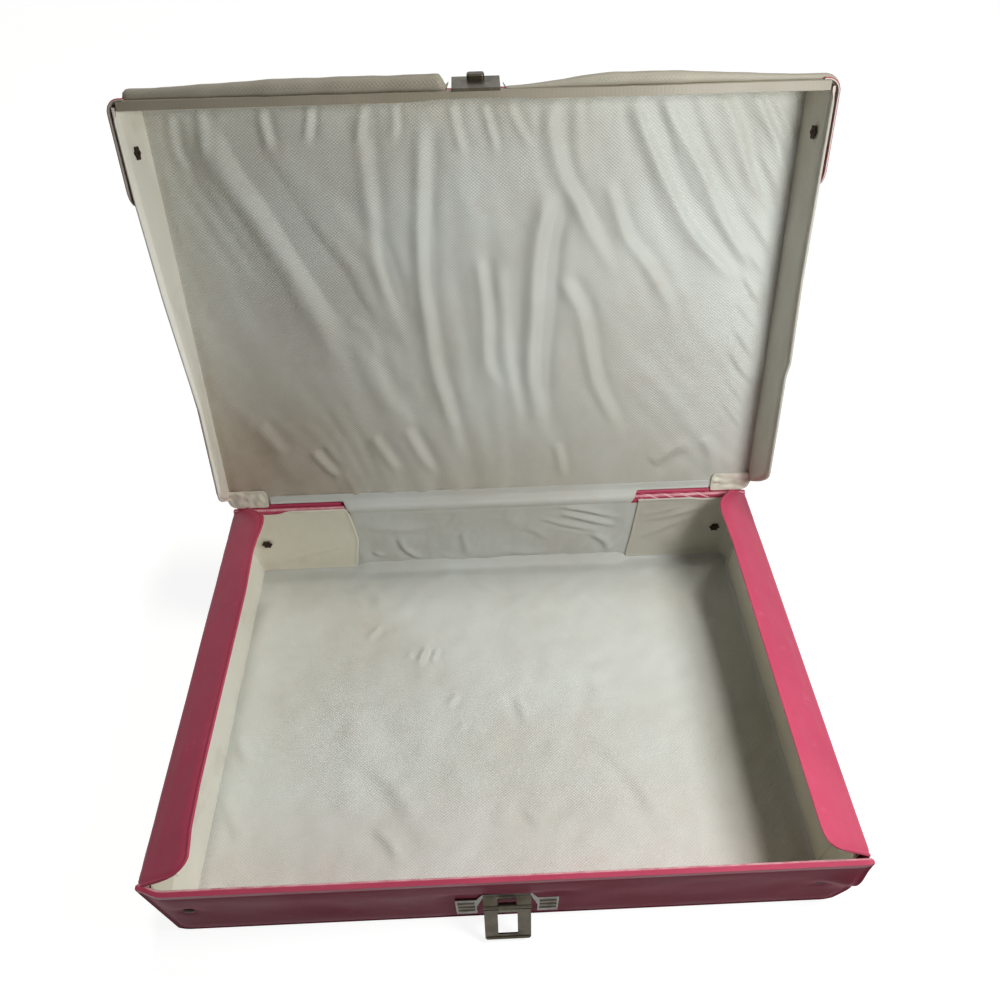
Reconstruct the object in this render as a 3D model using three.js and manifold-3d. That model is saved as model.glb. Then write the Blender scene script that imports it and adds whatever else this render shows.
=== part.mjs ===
// Doll clothing case: a shallow box of board welded between sheets of vinyl, with an
// overlapping lid on a soft hinge, two side flaps, riveted corner tabs and a sprung hasp.
// Millimetres, +X to the right, +Y to the back, +Z up. The origin is the centre of the underside.
// The lid is drawn open; its group is built closed and turned about the soft hinge.

import * as THREE from 'three';
import { mergeVertices } from 'three/addons/utils/BufferGeometryUtils.js';
import Module from 'manifold-3d';

const wasm = await Module();
wasm.setup();

// Box
const caseWidth = 356;
const caseDepth = 246;
const caseHeight = 70;

// Sheet and board
const vinyl = 0.6;
const board = 1.4;
const seat = 0.3;
const foldRadius = 3;
const weldMargin = 3;
const weldInset = 3.6;
const weldWidth = 0.9;
const weldDepth = 0.25;
const hemDepth = 7;

// Corner tabs
const tabLength = 77;
const tabTopDrop = 8;
const tabFloorGap = 2;
const tabThickness = 1.2;
const tabCornerRadius = 6;
const frontTabLength = 62;

// Side flaps
const flapWidth = 31;
const flapLean = 30;
const flapFrontRadius = 12;
const flapBackRadius = 26;
const flapEndGap = 0.6;
const flapFoldInset = 0.6;

// Lid
const lidDepth = 35;
const lidOpening = 107.4;
const lidGap = 1.8;
const lidSideClearance = 1.2;
const lidFrontClearance = 1.5;
const lidHeelRadius = 26;
const lidCornerRadius = 6;
const lidToeRadius = 6;
const hingeBehind = 1;
const hingeAbove = 0.9;
const hingeSetback = 2.5;
const lidTabLength = 50;
const endTabLength = 24;
const endTabDepth = 8;
const hingeStripEndGap = 26;
const hingeStripLap = 0.4;
const hingeStripBend = 2;

// Rolled lip on the lid's front edge
const lipThickness = 6;
const lipHeight = 10;
const lipGapWidth = 27;
const lipEndGap = 5;
const lipTaperLength = 48;
const lipThinnest = 1.6;
const lipEndRound = 3;
const lipEndShare = 0.35;
const lipBulge = 0.8;
const lipStations = 14;
const lipFacets = 14;

// Rivets
const rivetInset = 16;
const rivetHeight = 36;
const rivetShank = 1.4;
const rivetClearance = 0.4;
const rivetHeadRadius = 3;
const rivetHeadHeight = 1.1;
const rivetHeadRim = 0.25;
const rivetHeadShoulder = 2.4;
const rivetHeadCrown = 1.3;
const rivetShoulderDrop = 0.3;
const rivetHollow = 0.85;
const rivetHollowFloor = 0.4;
const starRadius = 3.7;
const starWaist = 2.7;
const starHeight = 0.8;
const starPetals = 6;
const starSteps = 6;
const lidRivetInset = 22;
const lidRivetDrop = 21;

// Latch
const metal = 0.6;
const latchWidth = 54;
const latchWingWidth = 11;
const latchBottom = 9;
const latchWingTop = 32;
const latchTop = 40.5;
const latchNeck = 12.5;
const latchBend = 35.5;
const latchWebDrop = 12;
const ribCount = 3;
const ribRadius = 0.9;
const ribInset = 1;
const pivotHeight = 29.5;
const pivotReach = 4;
const pivotBar = 1;
const curlClearance = 0.3;
const haspSheet = 0.8;
const haspWidth = 24.4;
const haspLength = 26.4;
const haspShoulder = 1.9;
const windowWidth = 10.3;
const windowTop = 4.2;
const windowBottom = 22.5;
const haspHang = 18;
const haspClosedLean = 19;
const sheetCorner = 0.5;
const tongueWidth = 9.2;
const tongueCurlFrom = -20;
const tongueCurlTo = 284;
const slotSideGap = 0.5;
const gripRadius = 0.8;
const prongWidth = 3;
const prongLength = 4;
const prongClearance = 0.3;

// Keeper
const keeperWidth = 24.4;
const keeperCrest = 21.4;
const keeperFoot = 6;
const keeperLedge = 0.6;
const knobWidth = 9;
const knobLength = 4.6;
const knobHeight = 3;
const knobRound = 0.8;
const knobCorner = 1.6;

// Lining folds
const lidFoldCount = 9;
const lidFoldHeight = 2.4;
const lidFoldWidth = 7;
const lidFoldSpread = 1.6;
const lidFoldPitch = 76;
const lidFoldFirst = 0.55;
const lidFoldSweep = 70;
const lidFoldTurn = 2.4;
const lidFoldLeast = 0.1;
const lidFoldEdge = 18;
const lidFoldClearance = 0.6;
const floorWaveHeight = 0.7;
const floorWaveLength = 62;
const floorWaveSkew = 0.5;
const floorWaveEdge = 20;
const liningColumns = 36;
const liningRows = 26;
const floorColumns = 22;
const floorRows = 16;

// Worked out from the sizes above
const arcSteps = 5;
const finePoints = 16;
const overshoot = 1;
const wall = 2 * vinyl + board + 2 * seat;
const halfWidth = caseWidth / 2;
const halfDepth = caseDepth / 2;
const boardLayer = [vinyl + seat, vinyl + seat + board];
const coverLayer = [0, vinyl];
const liningLayer = [wall - vinyl, wall];
const foldLine = wall + seat;
const flapFoldHeight = caseHeight - wall - seat;
const sideTop = flapFoldHeight - seat;
const lidHalfInner = halfWidth + lidSideClearance;
const lidHalfOuter = lidHalfInner + wall;
const hingeY = halfDepth + hingeBehind;
const hingeZ = caseHeight + hingeAbove;
const lidInnerTop = lidGap - hingeAbove;
const lidOuterTop = lidInnerTop + wall;
const lidEdge = lidInnerTop - lidDepth;
const lidFrontInner = -(hingeBehind + caseDepth + lidFrontClearance);
const lidFrontOuter = lidFrontInner - wall;
const lidTabOuter = lidHalfOuter + seat + tabThickness;
const degrees = Math.PI / 180;

const colours = {
  pink: { color: 0xb5395f, roughness: 0.42, metalness: 0 },
  white: { color: 0xd6d4c8, roughness: 0.5, metalness: 0 },
  board: { color: 0x9a8a6c, roughness: 0.9, metalness: 0 },
  nickel: { color: 0x8d877a, roughness: 0.3, metalness: 1 },
};

const X = new THREE.Vector3(1, 0, 0);
const Y = new THREE.Vector3(0, 1, 0);
const Z = new THREE.Vector3(0, 0, 1);

// Solids

function solidOf(geometry) {
  const bare = geometry.index ? geometry.toNonIndexed() : geometry.clone();
  for (const name of Object.keys(bare.attributes)) {
    if (name !== 'position') bare.deleteAttribute(name);
  }
  const merged = mergeVertices(bare, 1e-4);
  return new wasm.Manifold(new wasm.Mesh({
    numProp: 3,
    vertProperties: new Float32Array(merged.attributes.position.array),
    triVerts: new Uint32Array(merged.index.array),
  }));
}

function geometryOf(solid) {
  const mesh = solid.getMesh();
  const geometry = new THREE.BufferGeometry();
  geometry.setAttribute('position', new THREE.BufferAttribute(mesh.vertProperties, mesh.numProp));
  geometry.setIndex(new THREE.BufferAttribute(mesh.triVerts, 1));
  geometry.computeVertexNormals();
  return geometry;
}

// An outline with rounded corners; radii run from the low corner round by way of +first axis.
function roundedOutline(low, high, radii) {
  const [r0, r1, r2, r3] = Array.isArray(radii) ? radii : [radii, radii, radii, radii];
  const shape = new THREE.Shape();
  const quarter = Math.PI / 2;
  const corner = (x, y, r, start) => {
    if (r > 0) shape.absarc(x, y, r, start, start + quarter, false);
    else shape.lineTo(x, y);
  };
  shape.moveTo(low[0] + r0, low[1]);
  corner(high[0] - r1, low[1] + r1, r1, -quarter);
  corner(high[0] - r2, high[1] - r2, r2, 0);
  corner(low[0] + r3, high[1] - r3, r3, quarter);
  corner(low[0] + r0, low[1] + r0, r0, 2 * quarter);
  return shape;
}

// A slab of the outline between two places on the named axis.
// The outline's own axes are the two that are left, in X, Y, Z order.
function slab(shape, axis, from, to, steps = arcSteps) {
  const thickness = to - from;
  const geometry = new THREE.ExtrudeGeometry(shape, {
    depth: thickness, bevelEnabled: false, curveSegments: steps, steps: 1,
  });
  if (axis === 'x') {
    geometry.applyMatrix4(new THREE.Matrix4().makeBasis(Y, Z, X)).translate(from, 0, 0);
  } else if (axis === 'y') {
    geometry.applyMatrix4(new THREE.Matrix4().makeBasis(X, Z, Y.clone().negate())).translate(0, to, 0);
  } else {
    geometry.translate(0, 0, from);
  }
  return solidOf(geometry);
}

function block(low, high) {
  const size = high.map((value, i) => value - low[i]);
  const geometry = new THREE.BoxGeometry(...size);
  geometry.translate(...low.map((value, i) => value + size[i] / 2));
  return solidOf(geometry);
}

// A round bar along the named axis.
function bar(radius, axis, from, to, across) {
  const geometry = new THREE.CylinderGeometry(radius, radius, to - from, finePoints);
  const middle = (from + to) / 2;
  if (axis === 'x') geometry.rotateZ(Math.PI / 2).translate(middle, across[0], across[1]);
  else if (axis === 'y') geometry.translate(across[0], middle, across[1]);
  else geometry.rotateX(Math.PI / 2).translate(across[0], across[1], middle);
  return solidOf(geometry);
}

// A strip of even thickness that follows a bent line, drawn in the (Y, Z) plane.
function bentStrip(points, thickness) {
  const left = [];
  const right = [];
  points.forEach((point, i) => {
    const before = points[Math.max(i - 1, 0)];
    const after = points[Math.min(i + 1, points.length - 1)];
    const back = point.clone().sub(before).normalize();
    const on = after.clone().sub(point).normalize();
    const along = back.clone().add(on).normalize();
    const normal = new THREE.Vector2(-along.y, along.x);
    const straight = back.lengthSq() === 0 ? on : back;
    const spread = thickness / 2 / normal.dot(new THREE.Vector2(-straight.y, straight.x));
    left.push(point.clone().addScaledVector(normal, spread));
    right.push(point.clone().addScaledVector(normal, -spread));
  });
  return new THREE.Shape([...right, ...left.reverse()]);
}

// A sheet with a flat back and a face raised by height(u, v), both from 0 to 1.
function wavySheet(low, high, backZ, faceZ, columns, rows, height) {
  const positions = [];
  const index = [];
  const at = (column, row) => row * (columns + 1) + column;
  const upward = faceZ > backZ;
  for (let row = 0; row <= rows; row += 1) {
    for (let column = 0; column <= columns; column += 1) {
      const u = column / columns;
      const v = row / rows;
      const raise = height(u, v) * (upward ? 1 : -1);
      positions.push(low[0] + u * (high[0] - low[0]), low[1] + v * (high[1] - low[1]), faceZ + raise);
    }
  }
  const face = (a, b, c) => (upward ? index.push(a, b, c) : index.push(a, c, b));
  for (let row = 0; row < rows; row += 1) {
    for (let column = 0; column < columns; column += 1) {
      face(at(column, row), at(column + 1, row), at(column + 1, row + 1));
      face(at(column, row), at(column + 1, row + 1), at(column, row + 1));
    }
  }
  const edge = [];
  for (let column = 0; column < columns; column += 1) edge.push(at(column, 0));
  for (let row = 0; row < rows; row += 1) edge.push(at(columns, row));
  for (let column = columns; column > 0; column -= 1) edge.push(at(column, rows));
  for (let row = rows; row > 0; row -= 1) edge.push(at(0, row));
  const backStart = positions.length / 3;
  for (const i of edge) positions.push(positions[3 * i], positions[3 * i + 1], backZ);
  edge.forEach((i, k) => {
    const next = (k + 1) % edge.length;
    face(edge[next], i, backStart + k);
    face(edge[next], backStart + k, backStart + next);
  });
  const flat = edge.map((i) => new THREE.Vector2(positions[3 * i], positions[3 * i + 1]));
  for (const [a, b, c] of THREE.ShapeUtils.triangulateShape(flat, [])) {
    face(backStart + a, backStart + c, backStart + b);
  }
  const geometry = new THREE.BufferGeometry();
  geometry.setAttribute('position', new THREE.Float32BufferAttribute(positions, 3));
  geometry.setIndex(index);
  return solidOf(geometry);
}

// A pressed weld line: the ring between two offsets of an outline, cut a little way in.
function weldLine(outlineAt, axis, from, to) {
  const outer = slab(outlineAt(weldInset), axis, from, to);
  const inner = slab(outlineAt(weldInset + weldWidth), axis, from - overshoot, to + overshoot);
  return outer.subtract(inner);
}

// Scene graph

const object = new THREE.Group();
const base = new THREE.Group();
const lid = new THREE.Group();
const flaps = { left: new THREE.Group(), right: new THREE.Group() };
const haspGroup = new THREE.Group();
object.add(base, lid, flaps.left, flaps.right, haspGroup);

lid.position.set(0, hingeY, hingeZ);
lid.rotation.x = -lidOpening * degrees;
flaps.left.position.set(-(halfWidth - flapFoldInset), 0, flapFoldHeight);
flaps.left.rotation.y = -flapLean * degrees;
flaps.right.position.set(halfWidth - flapFoldInset, 0, flapFoldHeight);
flaps.right.rotation.y = flapLean * degrees;
haspGroup.position.set(0, -(halfDepth + pivotReach), pivotHeight);
haspGroup.rotation.x = -haspHang * degrees;

function add(group, name, solid, finish) {
  const material = new THREE.MeshStandardMaterial(colours[finish]);
  const mesh = new THREE.Mesh(geometryOf(solid), material);
  mesh.name = name;
  group.add(mesh);
  return mesh;
}

const sides = [['left', -1], ['right', 1]];
const ends = [['front', -1], ['back', 1]];

// The same solid on the other side of the case.
const mirrored = (solid, sign) => (sign > 0 ? solid : solid.mirror([1, 0, 0]));
const turnedAbout = (solid, sign) => (sign > 0 ? solid : solid.mirror([0, 1, 0]));

// Rivets: a domed head outside, a shank, and an end burst into petals inside.

function starOutline() {
  const points = starPetals * starSteps;
  const middle = (starRadius + starWaist) / 2;
  const swing = (starRadius - starWaist) / 2;
  const outline = [];
  for (let i = 0; i < points; i += 1) {
    const angle = (i / points) * 2 * Math.PI;
    const reach = middle + swing * Math.cos(angle * starPetals);
    outline.push(new THREE.Vector2(reach * Math.cos(angle), reach * Math.sin(angle)));
  }
  return new THREE.Shape(outline);
}

// Axis +Z points inwards, with z = 0 on the outer face of what it clamps.
function rivet(grip) {
  const crown = -seat - rivetHeadHeight;
  const dome = new THREE.LatheGeometry([
    new THREE.Vector2(0, crown),
    new THREE.Vector2(rivetHeadCrown, crown),
    new THREE.Vector2(rivetHeadShoulder, crown + rivetShoulderDrop),
    new THREE.Vector2(rivetHeadRadius, -seat - rivetHeadRim),
    new THREE.Vector2(rivetHeadRadius, -seat),
    new THREE.Vector2(0, -seat),
  ], finePoints);
  dome.rotateX(Math.PI / 2);
  const end = grip + seat + starHeight;
  const star = slab(starOutline(), 'z', grip + seat, end);
  const hollow = bar(rivetHollow, 'z', end - rivetHollowFloor, end + overshoot, [0, 0]);
  const shank = bar(rivetShank, 'z', -seat - rivetHeadRim, end - rivetHollowFloor, [0, 0]);
  return solidOf(dome).add(shank).add(star).subtract(hollow);
}

const rivetHole = rivetShank + rivetClearance;

// The keeper's line, worked out from the hasp's closed plane, in base coordinates.
const closedLine = {
  along: new THREE.Vector2(-Math.sin(haspClosedLean * degrees), Math.cos(haspClosedLean * degrees)),
  out: new THREE.Vector2(-Math.cos(haspClosedLean * degrees), -Math.sin(haspClosedLean * degrees)),
  pivot: new THREE.Vector2(-(halfDepth + pivotReach), pivotHeight),
};
const onClosedLine = (distance, height) => closedLine.pivot.clone()
  .addScaledVector(closedLine.along, distance).addScaledVector(closedLine.out, height);
const rampDepth = haspSheet / 2 + seat + metal / 2;
const keeperLine = {
  crest: onClosedLine(keeperCrest, -rampDepth),
  face: -(halfDepth + lidFrontClearance + wall + seat + metal / 2),
  edge: hingeZ + lidEdge - seat - metal / 2,
};
keeperLine.footTop = keeperLine.crest.y + keeperFoot;
keeperLine.prong = keeperLine.footTop - metal / 2;
keeperLine.start = onClosedLine((keeperLine.edge - pivotHeight) / closedLine.along.y, -rampDepth);
const keeperProngs = (keeperWidth - knobWidth) / 2;
const wingMiddle = (latchWidth - latchWingWidth) / 2;
const latchMiddle = (latchBottom + latchWingTop) / 2;

// Base

const baseOuter = roundedOutline([-halfWidth, -halfDepth], [halfWidth, halfDepth], foldRadius);
const baseHollow = roundedOutline(
  [-halfWidth + vinyl, -halfDepth + vinyl], [halfWidth - vinyl, halfDepth - vinyl], foldRadius - vinyl,
);
const baseShell = slab(baseOuter, 'z', 0, caseHeight)
  .subtract(slab(baseHollow, 'z', vinyl, caseHeight + overshoot));

const bothSides = (solid) => solid.add(mirrored(solid, -1));
const baseHoles = (from, to) => bothSides(
  bar(rivetHole, 'y', from, to, [halfWidth - rivetInset, rivetHeight]),
);

// A pair of slots for the prongs of a metal piece, at a distance from the middle and a height.
function prongSlots(distance, height, from, to) {
  const half = prongWidth / 2 + prongClearance;
  const tall = metal / 2 + prongClearance;
  return bothSides(block([distance - half, from, height - tall], [distance + half, to, height + tall]));
}

// The prongs themselves: through the wall and bent up behind it.
function prongs(distance, height, from, inside) {
  const low = distance - prongWidth / 2;
  const high = low + prongWidth;
  const under = height - metal / 2;
  const shank = block([low, from, under], [high, inside + metal, under + metal]);
  const turned = block([low, inside, under], [high, inside + metal, height + prongLength]);
  return bothSides(shank.add(turned));
}

function makeFloor() {
  const edge = foldLine - seat;
  const keep = block([-caseWidth, -caseDepth, -overshoot], [caseWidth, caseDepth, edge]);
  add(base, 'base_bottom_cover', baseShell.intersect(keep), 'pink');

  const reach = wall + seat;
  const plate = roundedOutline(
    [-halfWidth + reach, -halfDepth + reach], [halfWidth - reach, halfDepth - reach], foldRadius,
  );
  add(base, 'base_bottom_board', slab(plate, 'z', ...boardLayer), 'board');

  const low = [-halfWidth + reach, -halfDepth + reach];
  const high = [halfWidth - reach, halfDepth - reach];
  const swell = (u, v) => {
    const x = low[0] + u * (high[0] - low[0]);
    const y = low[1] + v * (high[1] - low[1]);
    const fromEdge = Math.min(high[0] - Math.abs(x), high[1] - Math.abs(y));
    const wave = Math.sin((x + y * floorWaveSkew) / floorWaveLength * 2 * Math.PI)
      * Math.cos((y - x * floorWaveSkew) / floorWaveLength * Math.PI);
    return floorWaveHeight * Math.min(1, fromEdge / floorWaveEdge) * (1 + wave) / 2;
  };
  const sheet = wavySheet(low, high, wall - vinyl, wall, floorColumns, floorRows, swell);
  add(base, 'base_floor_lining', sheet, 'white');
}

// The front and back walls run the full width; vinyl turns over the rim as a hem.
function makeEndWall(name, sign) {
  const outerFace = sign * halfDepth;
  const from = (layer) => outerFace - sign * layer;
  const between = (layer) => [from(layer[0]), from(layer[1])].sort((a, b) => a - b);
  const drillSpan = between([-overshoot, wall + overshoot]);
  const drill = (solid) => {
    const drilled = solid.subtract(baseHoles(...drillSpan));
    return sign < 0 ? drilled.subtract(prongSlots(wingMiddle, latchMiddle, ...drillSpan)) : drilled;
  };

  const depths = between([-overshoot, wall]);
  const face = baseShell.intersect(block(
    [-caseWidth, depths[0], foldLine], [caseWidth, depths[1], caseHeight - wall / 2],
  ));
  const crown = new THREE.Shape();
  const middle = -wall / 2;
  const innerRadius = wall / 2 - vinyl;
  const springLine = caseHeight - wall / 2;
  crown.moveTo(0, springLine);
  crown.absarc(middle, springLine, wall / 2, 0, Math.PI, false);
  crown.lineTo(-wall, caseHeight - hemDepth);
  crown.lineTo(-wall + vinyl, caseHeight - hemDepth);
  crown.lineTo(-wall + vinyl, springLine);
  crown.absarc(middle, springLine, innerRadius, Math.PI, 0, true);
  const hem = slab(crown, 'x', -halfWidth + foldRadius, halfWidth - foldRadius).translate([0, halfDepth, 0]);
  const overlapTop = sign < 0 ? hem.mirror([0, 1, 0]) : hem;
  add(base, `base_${name}_cover`, drill(face.add(overlapTop)), 'pink');

  const boardTop = springLine - seat;
  const plate = roundedOutline(
    [-halfWidth + foldRadius, foldLine], [halfWidth - foldRadius, boardTop], [0, 0, weldMargin, weldMargin],
  );
  add(base, `base_${name}_board`, drill(slab(plate, 'y', ...between(boardLayer))), 'board');

  const sheet = roundedOutline(
    [-halfWidth + foldRadius, foldLine], [halfWidth - foldRadius, caseHeight - hemDepth - seat], 0,
  );
  add(base, `base_${name}_lining`, drill(slab(sheet, 'y', ...between(liningLayer))), 'white');
}

// The side walls stand between the ends and stop under the flaps.
function makeSideWall(name, sign) {
  const reach = halfDepth - wall - seat;
  const keep = block([halfWidth - wall, -reach, foldLine], [halfWidth + overshoot, reach, sideTop]);
  add(base, `base_${name}_cover`, mirrored(baseShell.intersect(keep), sign), 'pink');

  const span = (layer) => [halfWidth - layer[1], halfWidth - layer[0]];
  const plate = roundedOutline([-reach, foldLine], [reach, sideTop - seat], [0, 0, weldMargin, weldMargin]);
  add(base, `base_${name}_board`, mirrored(slab(plate, 'x', ...span(boardLayer)), sign), 'board');
  const sheet = roundedOutline([-reach, foldLine], [reach, sideTop], 0);
  add(base, `base_${name}_lining`, mirrored(slab(sheet, 'x', ...span(liningLayer)), sign), 'white');
}

// Each side wall's ends fold in behind the end walls and are riveted there.
function makeCornerTab(end, endSign, side, sideSign) {
  const length = end === 'back' ? tabLength : frontTabLength;
  const bottom = foldLine + tabFloorGap;
  const top = caseHeight - tabTopDrop;
  const start = halfWidth - wall - seat;
  const stop = halfWidth - length;
  const back = halfDepth - wall - seat;
  const outlineAt = (inset) => roundedOutline(
    [stop + inset, bottom + inset], [start - inset, top - inset],
    [tabCornerRadius, foldRadius, foldRadius, tabCornerRadius],
  );
  let tab = slab(outlineAt(0), 'y', back - tabThickness, back);
  const face = back - tabThickness;
  tab = tab.subtract(weldLine(outlineAt, 'y', face - overshoot, face + weldDepth));
  tab = tab.subtract(bar(rivetHole, 'y', back - wall, back + wall, [halfWidth - rivetInset, rivetHeight]));
  add(base, `corner_tab_${end}_${side}`, turnedAbout(mirrored(tab, sideSign), endSign), 'white');

  const pin = rivet(wall + seat + tabThickness).rotate([90, 0, 0])
    .translate([halfWidth - rivetInset, halfDepth, rivetHeight]);
  add(base, `corner_rivet_${end}_${side}`, turnedAbout(mirrored(pin, sideSign), endSign), 'nickel');
}

// The soft hinge: a strip of lining that climbs the back wall and turns over its rim.
function makeHingeStrip() {
  const half = halfWidth - hingeStripEndGap;
  const inner = halfDepth - wall - seat - vinyl / 2;
  const top = caseHeight + seat + vinyl / 2;
  const points = [new THREE.Vector2(inner, caseHeight - tabTopDrop + seat)];
  for (let i = 0; i <= arcSteps; i += 1) {
    const angle = Math.PI - (i / arcSteps) * Math.PI / 2;
    points.push(new THREE.Vector2(
      inner + hingeStripBend * (1 + Math.cos(angle)), top - hingeStripBend * (1 - Math.sin(angle)),
    ));
  }
  points.push(new THREE.Vector2(hingeY + hingeStripLap, top));
  const strip = slab(bentStrip(points, vinyl), 'x', -half, half);
  add(base, 'hinge_strip', strip, 'white');
}

// Flaps: built flat, with the fold on the local Y axis and the free edge towards +X for the left.
function makeFlap(side, sign) {
  const back = halfDepth - wall - flapEndGap;
  const front = -back;
  const outlineAt = (inset) => roundedOutline(
    [0, front + inset], [flapWidth - inset, back - inset],
    [0, flapFrontRadius - inset, flapBackRadius - inset, 0],
  );
  const bend = new THREE.Shape();
  bend.absarc(wall, 0, wall, Math.PI, Math.PI / 2, true);
  bend.lineTo(flapWidth + overshoot, wall);
  bend.lineTo(flapWidth + overshoot, wall - vinyl);
  bend.lineTo(wall, wall - vinyl);
  bend.absarc(wall, 0, wall - vinyl, Math.PI / 2, Math.PI, false);
  const sheet = slab(bend, 'y', front, back);
  const plan = slab(outlineAt(0), 'z', -overshoot, wall + overshoot);
  let cover = sheet.intersect(plan);
  cover = cover.subtract(weldLine(outlineAt, 'z', wall - weldDepth, wall + overshoot)
    .intersect(block([wall, -caseDepth, 0], [caseWidth, caseDepth, 2 * wall])));
  const trimmed = (inset, layer, start) => slab(outlineAt(inset), 'z', ...layer)
    .intersect(block([start, -caseDepth, -wall], [caseWidth, caseDepth, 2 * wall]));
  const boardStart = wall - Math.sqrt((wall - vinyl) ** 2 - (wall - boardLayer[0]) ** 2) + seat;
  const stiffener = trimmed(weldMargin, [vinyl + seat, vinyl + seat + board], boardStart);
  const lining = trimmed(0, [0, vinyl], vinyl + 2 * seat);
  const facing = (solid) => (sign < 0 ? solid : solid.mirror([1, 0, 0]));
  add(flaps[side], `flap_${side}_cover`, facing(cover), 'pink');
  add(flaps[side], `flap_${side}_board`, facing(stiffener), 'board');
  add(flaps[side], `flap_${side}_lining`, facing(lining), 'white');
}

// Lid: built closed, with the origin on the hinge.

const lidPlan = (inset, back) => roundedOutline(
  [-lidHalfOuter + inset, lidFrontOuter + inset], [lidHalfOuter - inset, back],
  [lidCornerRadius - inset, lidCornerRadius - inset, 0, 0],
);
const lidOuterPlan = lidPlan(0, -hingeSetback);
const lidHollowPlan = lidPlan(vinyl, overshoot);
const lidShell = slab(lidOuterPlan, 'z', lidEdge, lidOuterTop)
  .subtract(slab(lidHollowPlan, 'z', lidEdge - overshoot, lidOuterTop - vinyl));

function makeLidPanel() {
  const fold = lidInnerTop - seat;
  const keep = block([-caseWidth, lidFrontOuter - wall, fold], [caseWidth, 0, lidOuterTop + overshoot]);
  add(lid, 'lid_panel_cover', lidShell.intersect(keep), 'pink');

  const reach = lidHalfInner - seat;
  const plate = roundedOutline(
    [-reach, lidFrontInner + seat], [reach, -hingeSetback - weldMargin], foldRadius,
  );
  const boardFrom = lidInnerTop + vinyl + seat;
  add(lid, 'lid_panel_board', slab(plate, 'z', boardFrom, boardFrom + board), 'board');

  // Soft folds fan out from the free edge, sweep to the right and die out towards the hinge.
  const low = [-reach, lidFrontInner + seat];
  const high = [reach, 0];
  const overFlap = hingeZ + lidInnerTop - flapFoldHeight - wall - lidFoldClearance;
  const folds = (u, v) => {
    const x = low[0] + u * (high[0] - low[0]);
    const y = low[1] + v * (high[1] - low[1]);
    const fromEdge = Math.min(reach - Math.abs(x), y - low[1], high[1] - y - hingeSetback);
    const pastFlap = reach - Math.abs(x) - flapWidth;
    let raise = 0;
    for (let i = 0; i < lidFoldCount; i += 1) {
      const line = (i - lidFoldCount * lidFoldFirst) * lidFoldPitch / 2 + lidFoldSweep * v * v;
      const away = (x - line) / (lidFoldWidth * (1 + lidFoldSpread * v));
      const strength = lidFoldLeast + (1 - lidFoldLeast) * Math.abs(Math.sin(i * lidFoldTurn));
      raise += strength * (1 - v) * Math.exp(-away * away);
    }
    const height = lidFoldHeight * Math.min(raise, 1) * THREE.MathUtils.clamp(fromEdge / lidFoldEdge, 0, 1);
    const limit = THREE.MathUtils.mapLinear(
      THREE.MathUtils.clamp(pastFlap / lidFoldEdge, 0, 1), 0, 1, overFlap, lidFoldHeight,
    );
    return Math.min(height, limit);
  };
  const lining = wavySheet(low, high, lidInnerTop + vinyl, lidInnerTop, liningColumns, liningRows, folds);
  add(lid, 'lid_panel_lining', lining, 'white');
}

function makeLidFront() {
  const fold = lidInnerTop - 2 * seat;
  const slots = prongSlots(
    keeperProngs, keeperLine.prong - hingeZ, lidFrontOuter - overshoot, lidFrontInner + overshoot,
  );
  const reach = lidTabOuter - lidCornerRadius - seat;
  const keep = block([-reach, lidFrontOuter - wall, lidEdge - overshoot], [reach, lidFrontInner, fold]);
  add(lid, 'lid_front_cover', lidShell.intersect(keep).subtract(slots), 'pink');
  const plate = roundedOutline([-reach, lidEdge + weldMargin], [reach, fold], [weldMargin, weldMargin, 0, 0]);
  const layer = (pair) => [lidFrontOuter + pair[0], lidFrontOuter + pair[1]];
  add(lid, 'lid_front_board', slab(plate, 'y', ...layer(boardLayer)).subtract(slots), 'board');
  const corner = lidHalfInner - seat;
  const sheet = roundedOutline([-corner, lidEdge], [corner, fold], 0);
  add(lid, 'lid_front_lining', slab(sheet, 'y', ...layer(liningLayer)).subtract(slots), 'white');
}

function makeLidSide(name, sign) {
  const fold = lidInnerTop - 2 * seat;
  const front = lidFrontOuter + lidCornerRadius;
  const outlineAt = (inset) => roundedOutline(
    [front, lidEdge + inset], [-hingeSetback - inset, fold], [0, lidHeelRadius - inset, 0, 0],
  );
  const hole = bar(
    rivetHole, 'x', lidHalfInner - wall, lidHalfOuter + wall,
    [lidFrontInner + lidRivetInset, lidInnerTop - lidRivetDrop],
  );
  const span = (layer) => [lidHalfOuter - layer[1], lidHalfOuter - layer[0]];
  let cover = slab(outlineAt(0), 'x', ...span(coverLayer));
  cover = cover.subtract(weldLine(outlineAt, 'x', lidHalfOuter - weldDepth, lidHalfOuter + overshoot)
    .intersect(block([0, front + weldMargin, lidEdge], [caseWidth, 0, fold - weldInset - weldWidth])));
  add(lid, `lid_${name}_cover`, mirrored(cover.subtract(hole), sign), 'pink');
  const stiffener = slab(outlineAt(weldMargin), 'x', ...span(boardLayer));
  add(lid, `lid_${name}_board`, mirrored(stiffener.subtract(hole), sign), 'board');
  const lining = slab(outlineAt(0), 'x', ...span(liningLayer));
  add(lid, `lid_${name}_lining`, mirrored(lining.subtract(hole), sign), 'white');
}

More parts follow.
